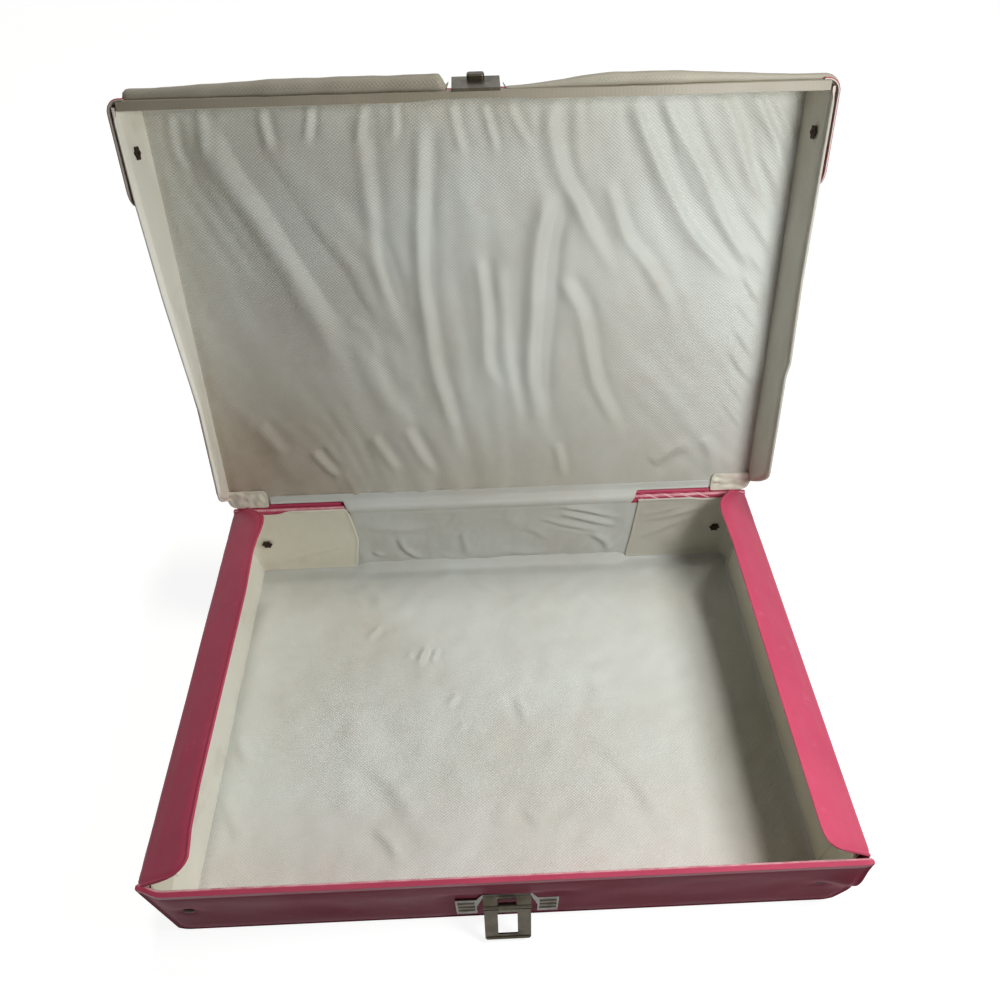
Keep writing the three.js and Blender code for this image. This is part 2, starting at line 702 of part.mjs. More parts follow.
// The front wall's ends turn round the corners and lie outside the side walls, each held by one rivet.
function makeLidTab(side, sign) {
  const fold = lidInnerTop - 2 * seat;
  const inner = lidTabOuter - tabThickness;
  const end = lidFrontInner + lidTabLength;
  const bend = [lidTabOuter - lidCornerRadius, lidFrontOuter + lidCornerRadius];
  const plan = new THREE.Shape();
  plan.moveTo(bend[0], lidFrontOuter);
  plan.absarc(...bend, lidCornerRadius, -Math.PI / 2, 0, false);
  plan.lineTo(lidTabOuter, end);
  plan.lineTo(inner, end);
  plan.absarc(...bend, lidCornerRadius - tabThickness, 0, -Math.PI / 2, true);
  const profile = roundedOutline(
    [lidFrontOuter - overshoot, lidEdge], [end, fold], [0, lidToeRadius, lidToeRadius, 0],
  );
  let tab = slab(plan, 'z', lidEdge, fold).intersect(slab(profile, 'x', 0, caseWidth));
  const outlineAt = (inset) => roundedOutline(
    [bend[1] - weldInset + inset, lidEdge + inset], [end - inset, fold - inset],
    [0, lidToeRadius - inset, lidToeRadius - inset, 0],
  );
  tab = tab.subtract(weldLine(outlineAt, 'x', lidTabOuter - weldDepth, lidTabOuter + overshoot));
  const y = lidFrontInner + lidRivetInset;
  const z = lidInnerTop - lidRivetDrop;
  tab = tab.subtract(bar(rivetHole, 'x', lidHalfInner, lidTabOuter + overshoot, [y, z]));
  add(lid, `lid_tab_${side}`, mirrored(tab, sign), 'pink');
  const pin = rivet(wall + seat + tabThickness).rotate([0, -90, 0]).translate([lidTabOuter, y, z]);
  add(lid, `lid_rivet_${side}`, mirrored(pin, sign), 'nickel');
}

// A short turned-in end of each side wall, laid on the panel beside the hinge.
function makeEndTab(side, sign) {
  const start = lidHalfInner - seat;
  const outline = roundedOutline(
    [start - endTabLength, -hingeSetback - endTabDepth], [start, -hingeSetback],
    [endTabDepth / 2, 0, 0, vinyl],
  );
  const top = lidInnerTop - seat;
  add(lid, `lid_end_tab_${side}`, mirrored(slab(outline, 'z', top - vinyl, top), sign), 'white');
}

// The rolled lip along the front wall's free edge, in two lengths with room for the keeper.
function makeLip(side, sign) {
  const start = lipGapWidth / 2;
  const stop = lidHalfOuter - lipEndGap;
  const face = lidFrontOuter - seat;
  const middle = lidEdge + lipHeight / 2;
  const tapered = side === 'right';
  const positions = [];
  const index = [];
  for (let i = 0; i <= lipStations; i += 1) {
    const t = i / lipStations;
    const x = start + (stop - start) * THREE.MathUtils.smoothstep(t, 0, 1);
    const fullness = tapered ? THREE.MathUtils.smoothstep(x - start, 0, lipTaperLength) : 1;
    const fromEnd = Math.min(x - start, stop - x) / lipEndRound;
    const round = lipEndShare + (1 - lipEndShare) * Math.sqrt(Math.min(1, fromEnd));
    const thick = (lipThinnest + (lipThickness - lipThinnest) * fullness) * round;
    for (let k = 0; k < lipFacets; k += 1) {
      const angle = (k / lipFacets) * 2 * Math.PI;
      const out = Math.max(0, Math.cos(angle)) ** lipBulge;
      positions.push(x, face - thick * out, middle + Math.sin(angle) * lipHeight / 2);
    }
  }
  const at = (station, facet) => station * lipFacets + (facet % lipFacets);
  for (let i = 0; i < lipStations; i += 1) {
    for (let k = 0; k < lipFacets; k += 1) {
      index.push(at(i, k), at(i + 1, k), at(i + 1, k + 1));
      index.push(at(i, k), at(i + 1, k + 1), at(i, k + 1));
    }
  }
  for (let k = 1; k < lipFacets - 1; k += 1) {
    index.push(at(0, 0), at(0, k), at(0, k + 1));
    index.push(at(lipStations, 0), at(lipStations, k + 1), at(lipStations, k));
  }
  const geometry = new THREE.BufferGeometry();
  geometry.setAttribute('position', new THREE.Float32BufferAttribute(positions, 3));
  geometry.setIndex(index);
  add(lid, `lid_lip_${side}`, mirrored(solidOf(geometry), sign), 'white');
}

// Latch plate: two ribbed wings joined by a neck that bends out to a round bar under a slot.

function latchWebShape() {
  const top = new THREE.Vector2(-(halfDepth + seat + metal / 2), latchBend);
  const bottom = new THREE.Vector2(-(halfDepth + pivotReach), pivotHeight);
  return bentStrip([top.clone().add(new THREE.Vector2(0, metal)), top, bottom], metal);
}

function makeLatchPlate() {
  const half = latchWidth / 2;
  const wing = half - latchWingWidth;
  const outline = new THREE.Shape();
  const run = [
    [-half, latchBottom], [-wing, latchBottom], [-wing, latchWingTop - latchWebDrop],
    [-latchNeck, latchBend], [latchNeck, latchBend], [wing, latchWingTop - latchWebDrop],
    [wing, latchBottom], [half, latchBottom], [half, latchWingTop], [wing, latchWingTop],
    [latchNeck, latchTop], [-latchNeck, latchTop], [-wing, latchWingTop], [-half, latchWingTop],
  ];
  run.forEach(([x, z], i) => (i ? outline.lineTo(x, z) : outline.moveTo(x, z)));
  outline.closePath();
  const face = -(halfDepth + seat);
  let plate = slab(outline, 'y', face - metal, face);
  plate = plate.add(slab(latchWebShape(), 'x', -latchNeck, latchNeck));
  plate = plate.subtract(block(
    [-tongueWidth / 2 - slotSideGap, face - pivotReach - metal, pivotHeight],
    [tongueWidth / 2 + slotSideGap, face - metal - seat, latchBend],
  ));
  plate = plate.add(bar(pivotBar, 'x', -latchNeck, latchNeck, [-(halfDepth + pivotReach), pivotHeight]));
  const pitch = (latchWingTop - latchBottom) / (ribCount + 1);
  const ribHalf = latchWingWidth / 2 - ribInset;
  for (let i = 1; i <= ribCount; i += 1) {
    const at = [face - metal / 2, latchBottom + i * pitch];
    const rib = bar(ribRadius, 'x', wingMiddle - ribHalf, wingMiddle + ribHalf, at);
    const proud = block([wing, face - metal - ribRadius, 0], [half, face - metal / 2, latchTop]);
    plate = plate.add(bothSides(rib.intersect(proud)));
  }
  plate = plate.add(prongs(wingMiddle, latchMiddle, face - metal / 2, -halfDepth + wall + seat));
  add(base, 'latch_plate', plate, 'nickel');
}

// Hasp: hangs from the bar by a curled tongue; built hanging straight down from the pivot.

function makeHasp() {
  const half = haspWidth / 2;
  const sheet = roundedOutline(
    [-half, -haspLength], [half, -haspShoulder], [gripRadius, gripRadius, sheetCorner, sheetCorner],
  );
  sheet.holes.push(roundedOutline(
    [-windowWidth / 2, -windowBottom], [windowWidth / 2, -windowTop], sheetCorner,
  ));
  let hasp = slab(sheet, 'y', -haspSheet / 2, haspSheet / 2);
  const inner = pivotBar + curlClearance;
  const outer = inner + haspSheet;
  const curl = new THREE.Shape();
  curl.absarc(0, 0, outer, tongueCurlFrom * degrees, tongueCurlTo * degrees, false);
  curl.absarc(0, 0, inner, tongueCurlTo * degrees, tongueCurlFrom * degrees, true);
  hasp = hasp.add(slab(curl, 'x', -tongueWidth / 2, tongueWidth / 2, finePoints));
  const neckTop = -(inner + outer) / 2;
  hasp = hasp.add(block(
    [-tongueWidth / 2, -haspSheet / 2, -haspShoulder - metal], [tongueWidth / 2, haspSheet / 2, neckTop],
  ));
  hasp = hasp.add(bar(
    gripRadius, 'x', -half + gripRadius, half - gripRadius, [-haspSheet / 2, -haspLength + gripRadius],
  ));
  add(haspGroup, 'hasp', hasp, 'nickel');
}

// Keeper: a sprung ramp that hooks the lid's free edge and carries the knob.
function makeKeeper() {
  const { crest, face, edge, footTop, start } = keeperLine;
  const toe = new THREE.Vector2(Math.min(start.x, face), edge);
  const path = [
    new THREE.Vector2(-(halfDepth + lidFrontClearance + wall - keeperLedge), edge),
    toe,
    crest,
    new THREE.Vector2(face, crest.y),
    new THREE.Vector2(face, footTop),
  ];
  let keeper = slab(bentStrip(path, metal), 'x', -keeperWidth / 2, keeperWidth / 2);
  const knobOutline = roundedOutline(
    [-knobWidth / 2, -knobLength / 2], [knobWidth / 2, knobLength / 2], knobCorner,
  );
  const knobGeometry = new THREE.ExtrudeGeometry(knobOutline, {
    depth: knobHeight - knobRound, bevelEnabled: true, bevelThickness: knobRound, bevelSize: knobRound,
    bevelOffset: -knobRound, bevelSegments: 3, curveSegments: 3,
  });
  const knobMiddle = onClosedLine(keeperCrest - knobLength / 2 - metal / 2, -rampDepth);
  const basis = new THREE.Matrix4().makeBasis(
    X, new THREE.Vector3(0, closedLine.along.x, closedLine.along.y),
    new THREE.Vector3(0, closedLine.out.x, closedLine.out.y),
  );
  knobGeometry.applyMatrix4(basis).translate(0, knobMiddle.x, knobMiddle.y);
  keeper = keeper.add(solidOf(knobGeometry));
  const inside = -(halfDepth + lidFrontClearance - seat);
  keeper = keeper.add(prongs(keeperProngs, keeperLine.prong, face, inside));
  add(lid, 'keeper', keeper.translate([0, -hingeY, -hingeZ]), 'nickel');
}

makeFloor();
for (const [name, sign] of ends) makeEndWall(name, sign);
for (const [name, sign] of sides) makeSideWall(name, sign);
for (const [end, endSign] of ends) {
  for (const [side, sideSign] of sides) makeCornerTab(end, endSign, side, sideSign);
}
makeHingeStrip();
for (const [side, sign] of sides) makeFlap(side, sign);
makeLidPanel();
makeLidFront();
for (const [side, sign] of sides) {
  makeLidSide(side, sign);
  makeLidTab(side, sign);
  makeEndTab(side, sign);
  makeLip(side, sign);
}
makeLatchPlate();
makeHasp();
makeKeeper();

export default object;
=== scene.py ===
import math

import bpy
import numpy as np
from mathutils import Matrix, Vector


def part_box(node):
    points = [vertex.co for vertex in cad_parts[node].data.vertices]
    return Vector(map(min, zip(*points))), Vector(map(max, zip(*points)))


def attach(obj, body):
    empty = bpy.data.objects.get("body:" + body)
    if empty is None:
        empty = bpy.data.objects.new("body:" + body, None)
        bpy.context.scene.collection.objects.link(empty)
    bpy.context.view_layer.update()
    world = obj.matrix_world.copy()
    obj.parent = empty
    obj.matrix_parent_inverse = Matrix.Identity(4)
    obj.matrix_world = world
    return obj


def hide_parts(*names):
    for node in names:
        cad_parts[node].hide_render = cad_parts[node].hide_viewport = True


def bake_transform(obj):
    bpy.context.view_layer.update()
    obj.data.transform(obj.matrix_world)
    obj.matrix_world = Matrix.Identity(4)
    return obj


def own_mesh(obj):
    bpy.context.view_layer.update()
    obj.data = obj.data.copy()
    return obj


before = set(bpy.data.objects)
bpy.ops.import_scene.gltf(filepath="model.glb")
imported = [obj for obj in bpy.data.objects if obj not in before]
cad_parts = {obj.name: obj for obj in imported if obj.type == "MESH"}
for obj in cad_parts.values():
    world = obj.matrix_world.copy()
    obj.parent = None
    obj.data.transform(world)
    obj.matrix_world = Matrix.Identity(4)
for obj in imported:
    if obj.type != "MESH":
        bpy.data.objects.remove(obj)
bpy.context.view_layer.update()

MM = 0.001

bpy.context.scene.view_settings.view_transform = "Standard"


# Numbers of the case, in millimetres, as in the part

CASE_X = 178
CASE_Y = 123
RIM_Z = 70
WALL_FOOT = 0.6
HEM_RADIUS = 1.6
HEM_LOW = 63
SIDE_TOP = 66.2
SIDE_FOOT = 3.4
SIDE_REACH = 119.3
FLOOR_Z = 3.2
FLOOR_X = 174.6
FLOOR_Y = 119.4
LINING = 0.6
LINING_Z = 3.6
LINING_X = 174.8
LINING_Y = 119.8
LONG_LINING_TOP = 62.9
SIDE_LINING_TOP = 66
RIM_FROM = 65.5
CREASED = (104, 154)
HINGE_Y = 124
HINGE_Z = 70.9
LID_REACH = 251.7
LID_OUT = 4.1
LID_IN = 0.9
LID_EDGE = -34.1
LID_DEEP = LID_IN - LID_EDGE
LID_X = 182.4
LID_LINING_X = 179.3
LID_FRONT_X = 178.4
LID_CORNER = 6
FLAP_TILT = math.radians(30)
FLAP_PIVOT = (177.4, 66.5)
LID_TURN = (0.29904, 0.95424)


# Small numeric helpers

def smooth(x, low, high):
    t = np.clip((np.asarray(x, float) - low) / (high - low), 0, 1)
    return t * t * (3 - 2 * t)


def stations(low, high, step, fine=True):
    """Positions from low to high, close together near both ends, where the welded edge is."""
    near = [0, 0.2, 0.45, 0.8, 1.15, 1.4, 2.2, 3.2, 3.9, 4.5, 5.2, 6.2, 7.6] if fine else [0]
    middle = np.arange(low + near[-1], high - near[-1] - 0.4 * step, step)[1:]
    ends = np.array(near)
    return np.concatenate([low + ends, middle, (high - ends)[::-1]])


def waves(seed, shortest, longest, count=22):
    """A seeded gentle unevenness of the vinyl, about plus and minus one."""
    draw = np.random.default_rng(seed)
    angle = draw.uniform(0, 2 * np.pi, count)
    length = np.exp(draw.uniform(np.log(shortest), np.log(longest), count))
    phase = draw.uniform(0, 2 * np.pi, count)
    weight = np.sqrt(length / longest)
    weight = weight / np.sqrt(0.5 * np.sum(weight ** 2))

    def height(s, t):
        total = np.zeros(np.broadcast(s, t).shape)
        for i in range(count):
            run = s * np.cos(angle[i]) + t * np.sin(angle[i])
            total += 0.6 * weight[i] * np.cos(2 * np.pi * run / length[i] + phase[i])
        return total

    return height


def run_along(path):
    """How far along a path each of its points lies."""
    return np.concatenate([[0], np.cumsum(np.linalg.norm(np.diff(path, axis=0), axis=1))])


def curve_through(points, count=26):
    """Evenly spaced points on a smooth curve through the given ones."""
    p = np.array(points, float)
    ends = np.vstack([2 * p[0] - p[1], p, 2 * p[-1] - p[-2]])
    out = []
    for i in range(len(p) - 1):
        a, b, c, d = ends[i], ends[i + 1], ends[i + 2], ends[i + 3]
        for u in np.linspace(0, 1, 12, endpoint=False):
            out.append(0.5 * (2 * b + (c - a) * u + (2 * a - 5 * b + 4 * c - d) * u ** 2
                              + (3 * b - 3 * c + d - a) * u ** 3))
    out.append(p[-1])
    out = np.array(out)
    run = run_along(out)
    even = np.linspace(0, run[-1], count)
    return np.stack([np.interp(even, run, out[:, k]) for k in range(2)], axis=1)


def fold(s, t, points, width, height, valley=0.5, side=1, grow=0.4, fade=0.55):
    """A soft ridge along a path with a hollow on one side of it. It grows to its height at the share
    grow of its length, and fades from the share fade."""
    line = curve_through(points)
    flat_s, flat_t = s.ravel(), t.ravel()
    best = np.full(flat_s.shape, 1e9)
    across = np.zeros(flat_s.shape)
    along = np.zeros(flat_s.shape)
    last = len(line) - 1
    for i in range(last):
        a, b = line[i], line[i + 1]
        d = b - a
        u = np.clip(((flat_s - a[0]) * d[0] + (flat_t - a[1]) * d[1]) / (d @ d), 0, 1)
        ds = flat_s - (a[0] + u * d[0])
        dt = flat_t - (a[1] + u * d[1])
        far = np.hypot(ds, dt)
        nearer = far < best
        best = np.where(nearer, far, best)
        sign = np.sign(d[0] * dt - d[1] * ds)
        across = np.where(nearer, sign * far, across)
        along = np.where(nearer, (i + u) / last, along)
    held = smooth(along, -0.02, grow) * (1 - smooth(along, fade, 1))
    ridge = np.exp(-((across / width) ** 2))
    hollow = np.exp(-(((across + side * 1.7 * width) / (1.1 * width)) ** 2))
    return (height * held * (ridge - valley * hollow)).reshape(s.shape)


def folded(s, t, folds):
    """The relief of several folds, each with its path, width and height."""
    return sum((fold(s, t, *one) for one in folds), np.zeros(s.shape))


def dome(share, least=0):
    """A quarter circle: steep where the share is small, level where it reaches one."""
    return np.sqrt(np.clip(1 - (1 - np.clip(share, least, 1)) ** 2, 0, 1))


def bead(d, radius):
    """The half circle of a welded bead at distance d from the outline."""
    return np.sqrt(np.clip(1 - ((d - radius) / radius) ** 2, 0, 1))


def welded(d, full):
    """Half thickness at distance d from the outline: a thin bead, a flat weld, then the full board."""
    weld = 0.35
    round_bead = 0.75 * bead(d, 0.7)
    rise = weld + (full - weld) * smooth(d, 2, 5.4)
    return np.where(d < 0.7, round_bead, np.maximum(np.where(d < 1.4, round_bead, 0), rise))


def constant(value):
    """A straight outline at one value."""
    return lambda s: np.full(np.shape(s), float(value))


def level(height):
    """A flat face at one height."""
    return lambda s, t, edge: np.full(edge.shape, float(height))


def lying(s, t, h):
    return s, t, h


def through(points):
    """A function that runs straight from each given point to the next."""
    x, y = np.array(points, float).T
    return lambda s: np.interp(s, x, y)


def rounded(low, high, start, end, radii):
    """An outline whose corners at start and end are rounded. Gives lo and hi as functions of s."""
    r_lo_start, r_lo_end, r_hi_start, r_hi_end = radii

    def corner(distance, radius):
        x = np.clip(radius - distance, 0, radius)
        return radius - np.sqrt(np.maximum(radius ** 2 - x ** 2, 0))

    def lo(s):
        return low + np.maximum(corner(s - start, r_lo_start), corner(end - s, r_lo_end))

    def hi(s):
        return high - np.maximum(corner(s - start, r_hi_start), corner(end - s, r_hi_end))

    return lo, hi


# Building the meshes


def new_object(name, points, faces, materials):
    """An object made of points in millimetres and faces, smooth all over, with an empty UV map."""
    mesh = bpy.data.meshes.new(name)
    mesh.from_pydata((points * MM).tolist(), [], faces)
    mesh.uv_layers.new(name="UVMap")
    for material in materials:
        mesh.materials.append(material)
    mesh.polygons.foreach_set("use_smooth", np.ones(len(faces), bool))
    mesh.update()
    obj = bpy.data.objects.new(name, mesh)
    bpy.context.scene.collection.objects.link(obj)
    return obj


def sheet_mesh(name, front, back, uv, materials, turned=None):
    """A closed sheet from its front and back grids of points, in millimetres. Where turned is true,
    the back shows the material of the border."""
    n, m = front.shape[:2]
    points = np.concatenate([front.reshape(-1, 3), back.reshape(-1, 3)])
    index = np.arange(n * m).reshape(n, m)
    a, b, c, d = index[:-1, :-1], index[1:, :-1], index[1:, 1:], index[:-1, 1:]
    top = np.stack([a, b, c, d], axis=-1).reshape(-1, 4)
    low = np.stack([d, c, b, a], axis=-1).reshape(-1, 4) + n * m
    ring = np.concatenate([index[:, 0], index[-1, 1:], index[-2::-1, -1], index[0, -2:0:-1]])
    step = np.roll(ring, -1)
    side = np.stack([ring, ring + n * m, step + n * m, step], axis=-1)
    faces = np.concatenate([top, low, side])
    kind = np.concatenate([np.zeros(len(top)), np.ones(len(low)), np.full(len(side), 2)]).astype(int)
    if turned is not None:
        kind[len(top):len(top) + len(low)] += turned.reshape(-1).astype(int)
    obj = new_object(name, points, faces.tolist(), materials)
    flat_uv = np.concatenate([uv.reshape(-1, 2), uv.reshape(-1, 2)])
    obj.data.uv_layers["UVMap"].data.foreach_set("uv", flat_uv[faces.ravel()].ravel())
    obj.data.polygons.foreach_set("material_index", np.minimum(kind, len(materials) - 1))
    return obj


def panel(name, s_line, lo, hi, place, front_of, back_of, materials, t_step=2, fine_t=True, turned=None,
          flip=False):
    """A sheet over the area between lo(s) and hi(s). front_of and back_of give heights, place the points.
    flip turns the faces round, where s, t and h run the other way."""
    low, high = lo(s_line), hi(s_line)
    tall = np.max(high - low)
    share = stations(0, tall, t_step, fine_t) / tall
    s = np.repeat(s_line[:, None], len(share), axis=1)
    t = low[:, None] + (high - low)[:, None] * share[None, :]
    edge = np.minimum(s - s_line[0], s_line[-1] - s)
    edge = np.minimum(edge, np.minimum(t - low[:, None], high[:, None] - t))
    front = np.stack(place(s, t, front_of(s, t, edge)), axis=-1)
    back = np.stack(place(s, t, back_of(s, t, edge)), axis=-1)
    mask = None if turned is None else turned(s[:-1, :-1], t[:-1, :-1])
    obj = sheet_mesh(name, front, back, np.stack([s, t], axis=-1), materials, mask)
    if flip:
        obj.data.flip_normals()
    return obj


def keep(obj, body, slot_name, *nodes):
    """Marks the sharp edges, and says what the piece rides on and stands for. Its slot name is not used."""
    obj.data.set_sharp_from_angle(angle=math.radians(50))
    if body:
        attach(obj, body)
    if nodes:
        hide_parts(*nodes)


def keep_sheet(obj, body, nodes, slot_name="lining_vinyl"):
    """As keep, for a sheet."""
    keep(obj, body, slot_name, *nodes)


def lid_point(x, dist, depth):
    """From the lid's own x, distance from the hinge and depth to the part's frame, as the lid stands open."""
    sin, cos = LID_TURN
    return (x, HINGE_Y + sin * dist + cos * depth, HINGE_Z + cos * dist - sin * depth)


# Materials

def nodes_of(name):
    material = bpy.data.materials.new(name)
    material.use_nodes = True
    tree = material.node_tree
    return material, tree, tree.nodes["Principled BSDF"]


def fill(tree, node, inputs):
    """Sets each input to its constant, or links another node's output to it."""
    for key, value in inputs.items():
        if isinstance(value, bpy.types.NodeSocket):
            tree.links.new(value, node.inputs[key])
        else:
            node.inputs[key].default_value = value


def add(tree, kind, inputs, **settings):
    """A new node with its inputs filled and its settings made."""
    node = tree.nodes.new(kind)
    for key, value in settings.items():
        setattr(node, key, value)
    fill(tree, node, inputs)
    return node


def mix_colour(tree, factor, one, two):
    return add(tree, "ShaderNodeMix", {0: factor, 6: one, 7: two}, data_type="RGBA").outputs[2]


def maths(tree, operation, *values):
    return add(tree, "ShaderNodeMath", dict(enumerate(values)), operation=operation).outputs[0]


def times(tree, one, two):
    return maths(tree, "MULTIPLY", one, two)


def noise(tree, vector, scale, detail=3, roughness=0.55):
    inputs = {"Vector": vector, "Scale": scale, "Detail": detail, "Roughness": roughness}
    return add(tree, "ShaderNodeTexNoise", inputs).outputs["Fac"]


def spread(tree, value, low, high, out_low=0, out_high=1):
    inputs = {"Value": value, "From Min": low, "From Max": high, "To Min": out_low, "To Max": out_high}
    return add(tree, "ShaderNodeMapRange", inputs).outputs["Result"]


def bump(tree, height, strength, distance, below=None):
    inputs = {"Height": height, "Strength": strength, "Distance": distance}
    if below is not None:
        inputs["Normal"] = below
    return add(tree, "ShaderNodeBump", inputs).outputs["Normal"]


def object_place(tree):
    return add(tree, "ShaderNodeTexCoord", {}).outputs["Object"]


def flat_place(tree):
    """The two coordinates along a panel, in millimetres."""
    flat = add(tree, "ShaderNodeTexCoord", {}).outputs["UV"]
    split = add(tree, "ShaderNodeSeparateXYZ", {"Vector": flat})
    return split.outputs["X"], split.outputs["Y"]


def srgb(r, g, b):
    def linear(v):
        v = v / 255
        return v / 12.92 if v <= 0.04045 else ((v + 0.055) / 1.055) ** 2.4
    return (linear(r), linear(g), linear(b), 1)


def make_pink(name, gloss, shade_factor=1, rim=False, streaks=False):
    """Rose vinyl with a soft leather grain, faint mottling and rubbed paler patches. A factor below one
    darkens it all as painted shade.
    A rim gets a painted highlight, a patchy pale line along its inner edge, and streaks are pale diagonal
    lines across the creases beside the hinge."""
    material, tree, shader = nodes_of(name)
    place = object_place(tree)
    cloud = noise(tree, place, 16, 4)
    fine = noise(tree, place, 140)
    dirt = noise(tree, place, 42, 5, 0.7)
    grain = add(tree, "ShaderNodeTexVoronoi", {"Vector": place, "Scale": 1300}, feature="SMOOTH_F1")
    # A factor below one darkens both roses: painted shade.
    deep, light = (srgb(*(shade_factor * v for v in rose)) for rose in ((186, 68, 96), (198, 80, 106)))
    colour = mix_colour(tree, spread(tree, cloud, 0.35, 0.68), deep, light)
    colour = mix_colour(tree, spread(tree, fine, 0.62, 0.78, 0, 0.28), colour, srgb(214, 112, 134))
    colour = mix_colour(tree, spread(tree, dirt, 0.62, 0.8, 0, 0.3), colour, srgb(150, 52, 76))
    if rim:
        x, y = flat_place(tree)
        inner_edge = 71.6
        off = maths(tree, "ABSOLUTE", maths(tree, "SUBTRACT", y, inner_edge))
        patchy = spread(tree, fine, 0.3, 0.6, 0.25, 0.85)
        # Painted highlight: a patchy pale line along the rim's inner edge, where the rounded rim would catch
        # the light.
        glare_and_streaks = times(tree, spread(tree, off, 0.4, 1.1, 1, 0), patchy)
        if streaks:
            # Pale diagonal streaks across the creases beside the hinge, in the same pale colour.
            streak_pitch = 11.5
            run = maths(tree, "SUBTRACT", x, times(tree, y, 2))
            band = maths(tree, "SINE", times(tree, run, 2 * math.pi / streak_pitch))
            glare_and_streaks = maths(tree, "MAXIMUM", glare_and_streaks, spread(tree, band, 0.55, 0.85, 0, 0.9))
        colour = mix_colour(tree, glare_and_streaks, colour, srgb(240, 190, 196))
    soft = bump(tree, cloud, 0.12, 0.004)
    fill(tree, shader, {
        "Base Color": colour,
        "Roughness": spread(tree, cloud, 0.3, 0.7, 0.36, 0.5),
        "Specular IOR Level": gloss,
        "Normal": bump(tree, grain.outputs["Distance"], 0.16, 0.00012, soft),
    })
    return material


def make_lining(name, light, shade, pattern=1, painted_light=""):
    """Pale vinyl, embossed with offset rows of fine dots whose hollows are darkened as painted shade, with
    yellowed patches. The floor gets a painted pink reflection toward the front, and the lid gets painted
    shade toward the hinge, most on the left."""
    material, tree, shader = nodes_of(name)
    place = object_place(tree)
    x, y = flat_place(tree)
    pitch_x, pitch_y = 2.1, 1.7
    wave_x = maths(tree, "SINE", times(tree, x, 2 * math.pi / pitch_x))
    wave_y = maths(tree, "SINE", times(tree, y, 2 * math.pi / pitch_y))
    dots = times(tree, wave_x, wave_y)
    cloud = noise(tree, place, 9, 5)
    stain = noise(tree, place, 26, 6, 0.65)
    colour = mix_colour(tree, spread(tree, cloud, 0.35, 0.68), srgb(*light), srgb(*shade))
    colour = mix_colour(tree, spread(tree, stain, 0.56, 0.78, 0, 0.35), colour, srgb(198, 182, 164))
    # Painted reflection: the floor turns pink in blotches toward the front wall.
    if painted_light == "floor":
        toward_front = spread(tree, y, -50, -119, 0, 0.5)
        painted_pink_reflection = times(tree, toward_front, spread(tree, stain, 0.3, 0.7, 0.5, 1))
        colour = mix_colour(tree, painted_pink_reflection, colour, srgb(204, 178, 178))
    # Painted shade: the lid lining darkens to a brownish grey toward the hinge, most at its lower left.
    if painted_light == "lid":
        left, low = spread(tree, x, -20, -150), spread(tree, y, 190, 40)
        corner = times(tree, times(tree, left, low), 0.75)
        patch = maths(tree, "ADD", corner, spread(tree, y, 90, 10, 0, 0.35))
        brown = times(tree, patch, spread(tree, stain, 0.3, 0.7, 0.6, 1))
        colour = mix_colour(tree, brown, colour, srgb(172, 158, 140))
    # Painted shade: the hollows of the dots are darkened.
    hollow_shade = spread(tree, dots, -1, 0.2, 0.17 * pattern, 0)
    soft = bump(tree, stain, 0.08, 0.002)
    fill(tree, shader, {
        "Base Color": mix_colour(tree, hollow_shade, colour, srgb(120, 114, 100)),
        "Roughness": spread(tree, cloud, 0.3, 0.7, 0.42, 0.54),
        "Specular IOR Level": 0.4,
        "Normal": bump(tree, dots, 0.42 * pattern, 0.0003, soft),
    })
    return material


def make_nickel(name):
    """Old plated steel, dulled and freckled with rust."""
    material, tree, shader = nodes_of(name)
    place = object_place(tree)
    cloud = noise(tree, place, 120, 4)
    spots = noise(tree, place, 700, 5, 0.7)
    plate = mix_colour(tree, spread(tree, cloud, 0.35, 0.7), srgb(86, 80, 67), srgb(62, 56, 44))
    rust = spread(tree, spots, 0.56, 0.72, 0, 0.8)
    fill(tree, shader, {
        "Base Color": mix_colour(tree, rust, plate, srgb(78, 56, 38)),
        "Metallic": spread(tree, spots, 0.5, 0.72, 0.85, 0.4),
        "Roughness": spread(tree, cloud, 0.3, 0.7, 0.24, 0.42),
        "Normal": bump(tree, spots, 0.25, 0.0001),
    })
    return material


def make_rust(name):
    """Rivet heads gone brown."""
    material, tree, shader = nodes_of(name)
    spots = noise(tree, object_place(tree), 900, 5, 0.7)
    fill(tree, shader, {
        "Base Color": mix_colour(tree, spread(tree, spots, 0.4, 0.62), srgb(68, 50, 42), srgb(38, 26, 21)),
        "Specular IOR Level": 0.12,
        "Metallic": spread(tree, spots, 0.4, 0.6, 0.1, 0.02),
        "Roughness": spread(tree, spots, 0.4, 0.6, 0.42, 0.7),
        "Normal": bump(tree, spots, 0.4, 0.00015),
    })
    return material


PINK = make_pink("rose_vinyl", 0.18)
PINK_RIM = make_pink("rose_vinyl_rim", 0.18, rim=True)
PINK_CREASED = make_pink("rose_vinyl_creased", 0.18, rim=True, streaks=True)
# The outside rose: darker as painted shade, with almost no gloss.
PINK_SHADED = make_pink("rose_vinyl_outside_shaded", 0.012, 0.92)
LINED = make_lining("embossed_lining", (214, 217, 213), (201, 200, 192))
# The floor lining carries a painted pink reflection toward the front.
FLOOR_LINED = make_lining("embossed_floor_lining", (214, 217, 213), (201, 200, 192), painted_light="floor")
# The lid lining carries painted shade toward the hinge.
LID_LINED = make_lining("embossed_lid_lining", (216, 219, 214), (198, 196, 186), painted_light="lid")
